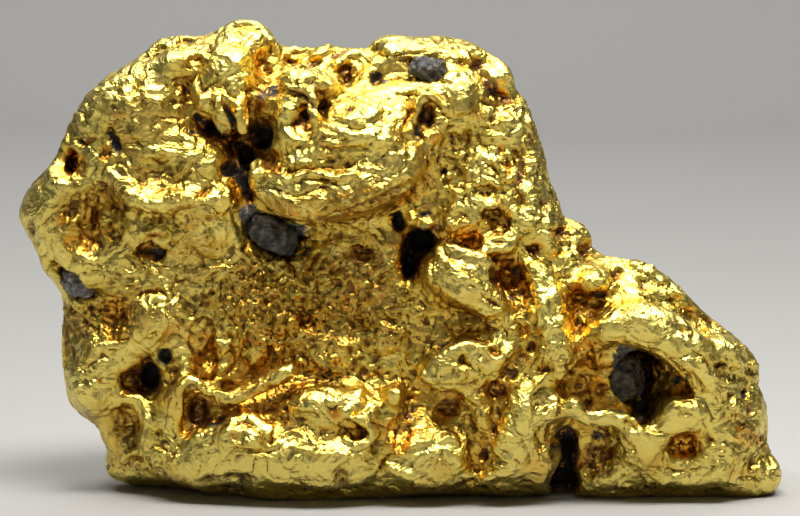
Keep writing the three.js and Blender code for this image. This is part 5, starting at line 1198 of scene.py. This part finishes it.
def cells(points, spacing):
    made = np.empty(len(points))
    for i, point in enumerate(points / spacing):
        near = noise.voronoi(Vector(point))[0]
        made[i] = near[1] - near[0]
    return made


def taper(along):
    return np.clip(np.minimum(along, 1 - along) * 5, 0.0, 1.0) ** 0.5


# how high a path's mark is on the points near it
def profile(kind, width, height, distance, along, side):
    ends = taper(along)
    if kind == "ledges":
        steep = np.clip(1 - distance / nuggetShape["ledgeFall"], 0, 1)
        return height * np.where(side > 0, np.exp(-(distance / width) ** 2), steep) * ends
    across = np.clip(distance / (width * (0.55 + 0.45 * ends)), 0, 1)
    if kind == "creases":
        return height * (1 - across) ** 1.3 * (0.4 + 0.6 * ends)
    if kind == "rolls":
        return height * np.sqrt(1 - across ** 2) * (0.5 + 0.5 * ends)
    return height * (1 - across ** 2) ** 1.5 * ends


# raises and sinks the marks at u, v, in millimetres: the narrow paths, or everything else
def reliefAt(u, v, narrow):
    edgeAt, edgeWidth = nuggetShape["pitEdge"]
    edgeHeight, most = nuggetShape["pitEdgeHeight"]
    raised = np.zeros(len(u))
    sunk = np.zeros(len(u))
    for region in carving.values():
        for kind in ("rolls", "folds", "creases", "ledges"):
            target = sunk if kind == "creases" else raised
            for width, height, path in region.get(kind, []):
                if (width < nuggetShape["narrow"]) != narrow:
                    continue
                near, *place = nearCurve(u, v, curveThrough(path), width + nuggetShape["margin"])
                target[near] = np.maximum(target[near], profile(kind, width, height, *place))
        if narrow:
            continue
        for oval in region.get("knobs", []):
            near, out = inOval(u, v, oval)
            raised[near] += oval[5] * np.clip(1 - out ** 2, 0, 1)
        for oval in region.get("pits", []):
            near, out = inOval(u, v, oval)
            sunk[near] = np.maximum(sunk[near], oval[5] * (1 - smooth(out, 0.35, 1.05)))
            edge = np.exp(-((out - edgeAt) / edgeWidth) ** 2)
            raised[near] += edgeHeight * min(oval[5], most) * edge
    return raised - sunk


def patch(u, v, kind):
    made = np.zeros(len(u))
    for region in carving.values():
        for oval in region.get(kind, []):
            near, out = inOval(u, v, oval)
            made[near] = np.maximum(made[near], oval[5] * (1 - smooth(out, 0.55, 1.25)))
    return made


# brings the hollow parts of the fill marks out to the front around them
def filled(points):
    u, v = asSeen(points)
    reach = nuggetShape["fillReach"]
    for region in carving.values():
        for oval in region.get("fills", []):
            near, out = inOval(u, v, oval)
            depth = points[near, 1]
            front = np.percentile(depth[depth < depth.min() + reach], 12)
            share = oval[5] * (1 - smooth(out, 0.6, 1.25)) * (depth < front + reach)
            points[near, 1] += share * (np.minimum(depth, front) - depth)
    return points


def wandering(points):
    drift = np.array([noise.noise_vector(Vector(point) / nuggetShape["strayLength"]) for point in points])
    u, v = asSeen(points)
    return u + nuggetShape["wander"] * drift[:, 0], v + nuggetShape["wander"] * drift[:, 1]


def grounded(points):
    points[:, 2] = np.maximum(points[:, 2], 0.0)
    return points


def remeshed(piece, passes):
    shaped(piece, "REMESH", mode="VOXEL", voxel_size=nuggetShape["voxel"])
    return softened(piece.data, pointsOf(piece.data), passes)


# from 0 on what stands out to 1 in a hollow
def hollownessOf(mesh, points, normals):
    wide = softened(mesh, points, nuggetShape["broad"])
    depth = np.einsum("ij,ij->i", wide - points, normals) * 1000
    return np.clip(depth / nuggetShape["hollow"] + nuggetShape["level"], 0, 1)


def roughOut():
    piece = copyOf("nugget", "gold_nugget")
    points = remeshed(piece, nuggetShape["melting"])
    movePoints(piece.data, filled(points))
    points = remeshed(piece, nuggetShape["settling"])
    movePoints(piece.data, points)
    return piece


def makeBroadMarks(piece):
    mesh = piece.data
    points = pointsOf(mesh)
    sight = softened(mesh, inSight(piece, points, normalsOf(mesh)), 3)
    movePoints(mesh, softened(mesh, points, nuggetShape["flow"]))
    flow = normalsOf(mesh)
    movePoints(mesh, points)
    u, v = wandering(points)
    melted = patch(u, v, "melt")[:, None] * np.clip(sight * 3, 0, 1)[:, None]
    points = points * (1 - melted) + softened(mesh, points, nuggetShape["melted"]) * melted
    movePoints(mesh, points)
    heights = nuggetShape["heights"]
    relief = reliefAt(u, v, False) * sight
    hollowness = hollownessOf(mesh, points, normalsOf(mesh))
    least, more = heights["folds"]
    rough = (least + more * hollowness) * ridgesAt(points, "folds")
    spacing, width = nuggetShape["dents"]
    dents = np.clip(1 - cells(points, spacing) / width, 0, 1)
    rough = rough + heights["dents"] * dents * (1 - hollowness)
    rough = rough + heights["waves"] * noiseAt(points, *nuggetShape["noise"]["waves"])
    relief += (1 - nuggetShape["calm"] * np.clip(sight * 2, 0, 1)) * rough
    rim = np.clip(1 - points[:, 2] / nuggetShape["rim"], 0, 1) * (1 - np.abs(flow[:, 2]))
    least, more = heights["rim"]
    relief -= rim * (least + more * noiseAt(points, *nuggetShape["noise"]["rim"]))
    points += flow * (relief * 0.001)[:, None]
    movePoints(mesh, grounded(points))


def makeNarrowMarks(piece):
    points = remeshed(piece, 2)
    mesh = piece.data
    movePoints(mesh, points)
    normals = normalsOf(mesh)
    sight = softened(mesh, inSight(piece, points, normals), 2)
    u, v = wandering(points)
    heights = nuggetShape["heights"]
    relief = reliefAt(u, v, True) * sight
    hollowness = hollownessOf(mesh, points, normals)
    crinkle = patch(u, v, "crinkle") * np.clip(sight * 3, 0, 1)
    small = ridgesAt(points, "small")
    least, more = heights["small"]
    crumpled = heights["net"] * ridgesAt(points, "net") + heights["crumple"] * small
    relief += ((least + more * hollowness) * small + crinkle * crumpled
               - heights["creases"] * ridgesAt(points, "creases"))
    points += normals * (relief * 0.001)[:, None]
    movePoints(mesh, grounded(points))
    return sight


# Thinning works in millimetres. Every point needs a weight above 0, or it would never be thinned out.
def thin(piece, sight):
    group = piece.vertex_groups.new(name="back")
    hidden = 1 - 0.7 * np.clip(softened(piece.data, sight, 6) * 4, 0, 1)
    for level in range(3, 11):
        chosen = np.nonzero(np.round(hidden * 10) == level)[0]
        group.add([int(i) for i in chosen], level / 10, "REPLACE")
    share = nuggetShape["triangles"] / (2 * len(piece.data.polygons))
    movePoints(piece.data, pointsOf(piece.data) * 1000)
    shaped(piece, "DECIMATE", ratio=min(1.0, share), vertex_group=group.name,
           vertex_group_factor=nuggetShape["spare"])
    piece.vertex_groups.clear()
    movePoints(piece.data, grounded(pointsOf(piece.data) * 0.001))
    piece.data.shade_smooth()


nugget = roughOut()
report(f"rough nugget, {len(nugget.data.vertices)} points")
makeBroadMarks(nugget)
report("broad marks")
sight = makeNarrowMarks(nugget)
report(f"narrow marks, {len(nugget.data.vertices)} points")
thin(nugget, sight)
report(f"thinned to {len(nugget.data.polygons)} faces")


goldenAngle = 2.399963  # radians, spreads directions evenly


# how shut in each point is: the share of rays from it that soon meet the piece again
def shelter(piece):
    reach, rays = nuggetShape["shutReach"], nuggetShape["shutRays"]
    tree = BVHTree.FromObject(piece, bpy.context.evaluated_depsgraph_get())
    points, normals = pointsOf(piece.data), normalsOf(piece.data)
    made = np.zeros(len(points))
    turns = [(i + 0.5) * goldenAngle for i in range(rays)]
    tilts = [math.sqrt((i + 0.5) / rays) for i in range(rays)]
    for i, (point, normal) in enumerate(zip(points, normals)):
        up = Vector(normal)
        side = up.orthogonal().normalized()
        other = up.cross(side)
        start = Vector(point) + up * nuggetShape["shutLift"]
        met = 0.0
        for turn, tilt in zip(turns, tilts):
            level = side * (tilt * math.cos(turn)) + other * (tilt * math.sin(turn))
            far = tree.ray_cast(start, level + up * math.sqrt(1 - tilt * tilt), reach)[3]
            if far is not None:
                met += 1 - 0.5 * far / reach
        made[i] = met / rays
    return made


def markColours(piece):
    mesh = piece.data
    points, normals = pointsOf(mesh), normalsOf(mesh)
    sight = np.clip(softened(mesh, inSight(piece, points, normals), 2) * 3, 0, 1)
    u, v = wandering(points)
    crack = np.einsum("ij,ij->i", softened(mesh, points, 4) - points, normals) * 1000
    full, even = nuggetShape["crack"]
    keep(mesh, "shelter", softened(mesh, shelter(piece), 2))
    keep(mesh, "crack", crack / full + even)
    # of these, the near-black and amber marks carry painted shade, and the ochre marks partly painted
    # reflection
    for mark in ("stains", "voidShadeAndCrust", "ochreStainAndReflection", "mineral", "amberShade"):
        keep(mesh, mark, patch(u, v, mark) * sight)


markColours(nugget)
report("colour marks")


def newMaterial(name):
    material = bpy.data.materials.new(name)
    material.use_nodes = True
    tree = material.node_tree
    tree.nodes.clear()
    output = tree.nodes.new("ShaderNodeOutputMaterial")
    shader = tree.nodes.new("ShaderNodeBsdfPrincipled")
    tree.links.new(shader.outputs["BSDF"], output.inputs["Surface"])
    return material, tree, shader


def add(tree, kind, inputs=None, **settings):
    node = tree.nodes.new(kind)
    for name, value in settings.items():
        setattr(node, name, value)
    for name, value in (inputs or {}).items():
        if isinstance(value, bpy.types.NodeSocket):
            tree.links.new(value, node.inputs[name])
        else:
            node.inputs[name].default_value = value
    return node


def ramp(tree, source, stops):
    node = add(tree, "ShaderNodeValToRGB", {"Fac": source})
    elements = node.color_ramp.elements
    while len(elements) < len(stops):
        elements.new(0.5)
    for element, (place, colour) in zip(elements, stops):
        element.position = place
        element.color = (*colour, 1.0)
    return node.outputs["Color"]


def mixed(tree, share, first, second, blend="MIX"):
    node = add(tree, "ShaderNodeMix", data_type="RGBA", blend_type=blend)
    for socket, value in ((node.inputs[0], share), (node.inputs[6], first), (node.inputs[7], second)):
        if isinstance(value, bpy.types.NodeSocket):
            tree.links.new(value, socket)
        elif isinstance(value, tuple):
            socket.default_value = (*value, 1.0)
        else:
            socket.default_value = value
    return node.outputs[2]


def spread(tree, source, low, high, least=0.0, most=1.0):
    node = add(tree, "ShaderNodeMapRange", {
        "Value": source, "From Min": low, "From Max": high, "To Min": least, "To Max": most,
    })
    return node.outputs["Result"]


def sums(tree, kind, first, second):
    node = add(tree, "ShaderNodeMath", operation=kind)
    for socket, value in zip(node.inputs, (first, second)):
        if isinstance(value, bpy.types.NodeSocket):
            tree.links.new(value, socket)
        else:
            socket.default_value = value
    return node.outputs[0]


goldLook = {
    # painted shade with iron staining: the more shut in a point is, the browner and darker it is painted,
    # down to near black
    "shelter": [  # from what stands free to what is shut in
        (0.0, (0.84, 0.68, 0.17)),
        (0.16, (0.76, 0.57, 0.10)),
        (0.34, (0.62, 0.36, 0.045)),
        (0.52, (0.40, 0.19, 0.025)),
        (0.75, (0.06, 0.028, 0.010)),
    ],
    "warm": (0.66, 0.42, 0.07),
    # painted shade: a brown darkening laid on the recess, the lip's underside and the dome
    "amberShade": (0.54, 0.40, 0.22),
    # orange in pits and pockets: partly iron staining, partly a painted warm reflection of gold on gold
    "ochreStainAndReflection": (0.74, 0.35, 0.035),
    "stain": (0.17, 0.075, 0.03),
    # painted shade and dirt: dark brown laid in fine creases by the crack attribute
    "creaseShadeAndDirt": (0.12, 0.05, 0.012),
    "mineral": [
        (0.35, (0.035, 0.037, 0.04)),
        (0.55, (0.16, 0.16, 0.16)),
        (0.75, (0.42, 0.42, 0.42)),
    ],
    # painted shade in deep holes, partly a dark ironstone crust: near black
    "voidShadeAndCrust": (0.012, 0.010, 0.009),
    "roughness": (0.25, 0.42),
    "edges": {  # name of a mark: how strong it has to be to begin to show, and to show in full
        "amberShade": (0.1, 1.0),
        "ochreStainAndReflection": (0.25, 1.1),
        "stains": (0.35, 0.95),
        "mineral": (0.4, 0.6),
        "voidShadeAndCrust": (0.3, 0.7),
    },
    "ridges": {
        "Scale": 120.0, "Detail": 3.0, "Roughness": 0.45, "Lacunarity": 2.1, "Gain": 2.0, "Offset": 0.9,
        "Distortion": 0.5,
    },
    "crumple": {"Scale": 210.0, "Detail": 3.0, "Roughness": 0.5, "Distortion": 0.8},
    "chips": {"Scale": 380.0, "Smoothness": 0.6},
    "bumps": [(0.38, 0.0022), (0.4, 0.0015), (0.22, 0.0006)],  # strength and depth of ridges, crumple, chips
}


def noiseTexture(tree, place, inputs, **settings):
    return add(tree, "ShaderNodeTexNoise", {"Vector": place, **inputs}, **settings).outputs["Fac"]


# an attribute with its edge broken up by noise
def ragged(tree, name, edge):
    mark = add(tree, "ShaderNodeAttribute", attribute_name=name).outputs["Fac"]
    broken = sums(tree, "MULTIPLY", mark, spread(tree, edge, 0.36, 0.62, 0.15, 1.7))
    return spread(tree, broken, *goldLook["edges"][name])


def goldMaterial():
    material, tree, shader = newMaterial("natural_gold")
    place = add(tree, "ShaderNodeTexCoord").outputs["Object"]
    shelter = add(tree, "ShaderNodeAttribute", attribute_name="shelter").outputs["Fac"]
    crack = add(tree, "ShaderNodeAttribute", attribute_name="crack").outputs["Fac"]
    speck = noiseTexture(tree, place, {"Scale": 420.0, "Detail": 4.0})
    edge = noiseTexture(tree, place, {"Scale": 210.0, "Detail": 6.0, "Roughness": 0.7, "Distortion": 1.6})
    patches = noiseTexture(tree, place, {"Scale": 60.0, "Detail": 4.0})
    grain = noiseTexture(tree, place, {"Scale": 480.0, "Detail": 2.0})

    # painted shade with iron staining: colour by how shut in each point is
    colour = ramp(tree, shelter, goldLook["shelter"])
    colour = mixed(tree, spread(tree, patches, 0.52, 0.66, 0.0, 0.6), colour, goldLook["warm"])
    # painted shade: the amber marks darken and brown the colour
    darker = mixed(tree, 1.0, colour, goldLook["amberShade"], "MULTIPLY")
    colour = mixed(tree, ragged(tree, "amberShade", edge), colour, darker)
    # iron staining with painted reflection: orange laid in pits and pockets
    colour = mixed(tree, ragged(tree, "ochreStainAndReflection", edge), colour, goldLook["ochreStainAndReflection"])
    shut = spread(tree, shelter, 0.08, 0.28, 0.55, 1.0)
    stain = sums(tree, "MULTIPLY", ragged(tree, "stains", edge), shut)
    colour = mixed(tree, stain, colour, goldLook["stain"])
    # painted shade and dirt: the deeper a fine crease, the darker
    colour = mixed(tree, spread(tree, crack, 0.60, 0.95, 0.0, 0.9), colour, goldLook["creaseShadeAndDirt"])
    mineral = ragged(tree, "mineral", edge)
    colour = mixed(tree, mineral, colour, ramp(tree, speck, goldLook["mineral"]))
    # painted shade in deep holes, partly dark crust: the near-black marks, kept to shut-in places
    dark = spread(tree, shelter, 0.12, 0.32, 0.35, 1.0)
    voidShadeAndCrust = sums(tree, "MULTIPLY", ragged(tree, "voidShadeAndCrust", edge), dark)
    colour = mixed(tree, voidShadeAndCrust, colour, goldLook["voidShadeAndCrust"])
    tree.links.new(colour, shader.inputs["Base Color"])

    dull = sums(tree, "MAXIMUM", sums(tree, "MAXIMUM", voidShadeAndCrust, mineral), sums(tree, "MULTIPLY", stain, 0.35))
    tree.links.new(spread(tree, dull, 0.0, 1.0, 1.0, 0.1), shader.inputs["Metallic"])
    worn = spread(tree, grain, 0.3, 0.7, *goldLook["roughness"])
    rough = sums(tree, "MAXIMUM", worn, sums(tree, "MULTIPLY", dull, 0.7))
    tree.links.new(rough, shader.inputs["Roughness"])

    ridges = noiseTexture(tree, place, goldLook["ridges"], noise_type="RIDGED_MULTIFRACTAL", normalize=True)
    crumple = noiseTexture(tree, place, goldLook["crumple"])
    chips = add(tree, "ShaderNodeTexVoronoi", {"Vector": place, **goldLook["chips"]}, feature="SMOOTH_F1")
    normal = {}
    for height, (strength, depth) in zip((ridges, crumple, chips.outputs["Distance"]), goldLook["bumps"]):
        inputs = {"Strength": strength, "Distance": depth, "Height": height, **normal}
        normal = {"Normal": add(tree, "ShaderNodeBump", inputs).outputs["Normal"]}
    tree.links.new(normal["Normal"], shader.inputs["Normal"])
    return material


nugget.data.materials.append(goldMaterial())
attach(nugget, "root")
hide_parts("nugget")


rockShape = {
    "voxel": 0.00045,
    "uneven": 0.5,  # how far the ways that facets face stray from an even spread
    "cut": (0.80, 0.12),  # how far out a facet is cut, as a share, and how much that varies
    "chips": (0.0034, 0.3, 0.0016),  # spacing, level and height, in metres
    "grain": (0.0016, 0.4, 0.0007),  # spacing, warp and height
}

rocks = {
    "ironstone_under_lip": {"slot": "ironstone", "grow": 1.04, "facets": 13, "seed": 3.0},
    "ironstone_in_wing": {"slot": "ironstone", "grow": 1.12, "facets": 12, "seed": 11.0},
    "ironstone_on_crown": {"slot": "ironstone", "grow": 1.1, "facets": 14, "seed": 19.0},
    "quartz_at_edge": {"slot": "quartz", "grow": 1.12, "facets": 10, "seed": 27.0},
}


def rockPiece(node, row):
    piece = copyOf(node, node + "_rock")
    points = pointsOf(piece.data)
    middle = points.mean(axis=0)
    movePoints(piece.data, middle + (points - middle) * row["grow"])
    shaped(piece, "REMESH", mode="VOXEL", voxel_size=rockShape["voxel"])
    points = pointsOf(piece.data)
    share, vary = rockShape["cut"]
    for i in range(row["facets"]):
        turn = goldenAngle * i
        rise = 1 - (2 * i + 1) / row["facets"]
        level = math.sqrt(1 - rise ** 2)
        way = np.array([math.cos(turn) * level, math.sin(turn) * level, rise])
        way += np.array(noise.noise_vector(Vector((i * 1.7, row["seed"], 0.3)))) * rockShape["uneven"]
        way /= np.linalg.norm(way)
        out = (points - middle) @ way
        cut = out.max() * (share + vary * noise.noise(Vector((row["seed"], i * 2.3, 0.7))))
        points -= np.maximum(out - cut, 0)[:, None] * way
    movePoints(piece.data, points)
    chipSpacing, chipLevel, chipHeight = rockShape["chips"]
    grainSpacing, warp, grainHeight = rockShape["grain"]
    raised = (chipLevel - cells(points, chipSpacing)) * chipHeight
    raised = raised + noiseAt(points, grainSpacing, warp, row["seed"]) * grainHeight
    movePoints(piece.data, points + normalsOf(piece.data) * raised[:, None])
    piece.data.shade_smooth()
    return piece


def rockMaterial(name, dark, middle, light, roughness):
    material, tree, shader = newMaterial(name)
    place = add(tree, "ShaderNodeTexCoord").outputs["Object"]
    speck = noiseTexture(tree, place, {"Scale": 380.0, "Detail": 6.0, "Roughness": 0.6})
    colour = ramp(tree, speck, [(0.36, dark), (0.52, middle), (0.68, light)])
    tree.links.new(colour, shader.inputs["Base Color"])
    tree.links.new(spread(tree, speck, 0.3, 0.7, roughness, roughness - 0.2), shader.inputs["Roughness"])
    bump = add(tree, "ShaderNodeBump", {"Strength": 0.8, "Distance": 0.0012, "Height": speck})
    tree.links.new(bump.outputs["Normal"], shader.inputs["Normal"])
    return material


rockLooks = {
    "ironstone": rockMaterial(
        "dark_ironstone", (0.012, 0.012, 0.010), (0.048, 0.044, 0.036), (0.17, 0.155, 0.13), 0.7),
    "quartz": rockMaterial(
        "grey_quartz", (0.06, 0.055, 0.05), (0.17, 0.155, 0.145), (0.40, 0.38, 0.36), 0.55),
}
for node, row in rocks.items():
    rock = rockPiece(node, row)
    rock.data.materials.append(rockLooks[row["slot"]])
    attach(rock, "root")
    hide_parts(node)
report("rocks")


studio = {
    "floor": (0.31, 0.307, 0.298),
    "floorRoughness": 0.85,
    "halfWidth": 4.0,
    "sky": (0.075, 0.075, 0.07),
    "bend": (1.50, 0.70),  # where the floor starts to turn up behind, and the radius of the turn
    "aim": (0.0, 0.0, 0.07),
    "backdrop": (0.0, 1.9, 0.25),  # where the wash is aimed
    "lamps": {  # name: place, size, watts, colour
        "ceiling": ((0.0, 0.0, 1.10), (1.30, 0.70), 2.6, (1.0, 0.985, 0.96)),
        "topLeft": ((-0.40, -0.25, 0.92), (0.26, 0.18), 3.4, (1.0, 0.98, 0.95)),
        "topMiddle": ((0.03, -0.34, 0.92), (0.42, 0.26), 8.6, (1.0, 0.98, 0.95)),
        "topRight": ((0.44, -0.24, 0.88), (0.36, 0.26), 6.6, (1.0, 0.98, 0.95)),
        "panel": ((0.0, -1.60, 0.60), (1.60, 0.30), 0.9, (1.0, 0.97, 0.90)),
        "wash": ((0.0, 0.80, 1.90), (2.60, 0.30), 46.0, (1.0, 0.99, 0.97)),
    },
}


def makeFloor():
    work = bmesh.new()
    bmesh.ops.create_grid(work, x_segments=2, y_segments=160, size=studio["halfWidth"])
    start, radius = studio["bend"]
    for corner in work.verts:
        past = corner.co.y - start
        if past > 0:
            turn = min(past / radius, math.pi / 2)
            beyond = max(0.0, past - radius * math.pi / 2)
            corner.co.y = start + radius * math.sin(turn)
            corner.co.z = radius * (1 - math.cos(turn)) + beyond
    mesh = bpy.data.meshes.new("floor")
    work.to_mesh(mesh)
    work.free()
    mesh.shade_smooth()
    floor = bpy.data.objects.new("floor", mesh)
    bpy.context.scene.collection.objects.link(floor)
    material, tree, shader = newMaterial("floor")
    shader.inputs["Base Color"].default_value = (*studio["floor"], 1.0)
    shader.inputs["Roughness"].default_value = studio["floorRoughness"]
    mesh.materials.append(material)


def lightScene():
    world = bpy.data.worlds.new("studio")
    bpy.context.scene.world = world
    world.use_nodes = True
    world.node_tree.nodes["Background"].inputs["Color"].default_value = (*studio["sky"], 1.0)
    bpy.context.scene.view_settings.view_transform = "Standard"
    for name, (place, size, watts, colour) in studio["lamps"].items():
        lamp = bpy.data.lights.new(name, "AREA")
        lamp.shape = "RECTANGLE"
        lamp.size, lamp.size_y = size
        lamp.energy = watts
        lamp.color = colour
        holder = bpy.data.objects.new(name, lamp)
        holder.location = place
        aim = Vector(studio["backdrop" if name == "wash" else "aim"])
        holder.rotation_mode = "QUATERNION"
        holder.rotation_quaternion = (aim - Vector(place)).to_track_quat("-Z", "Y")
        bpy.context.scene.collection.objects.link(holder)


makeFloor()
lightScene()
report("studio")
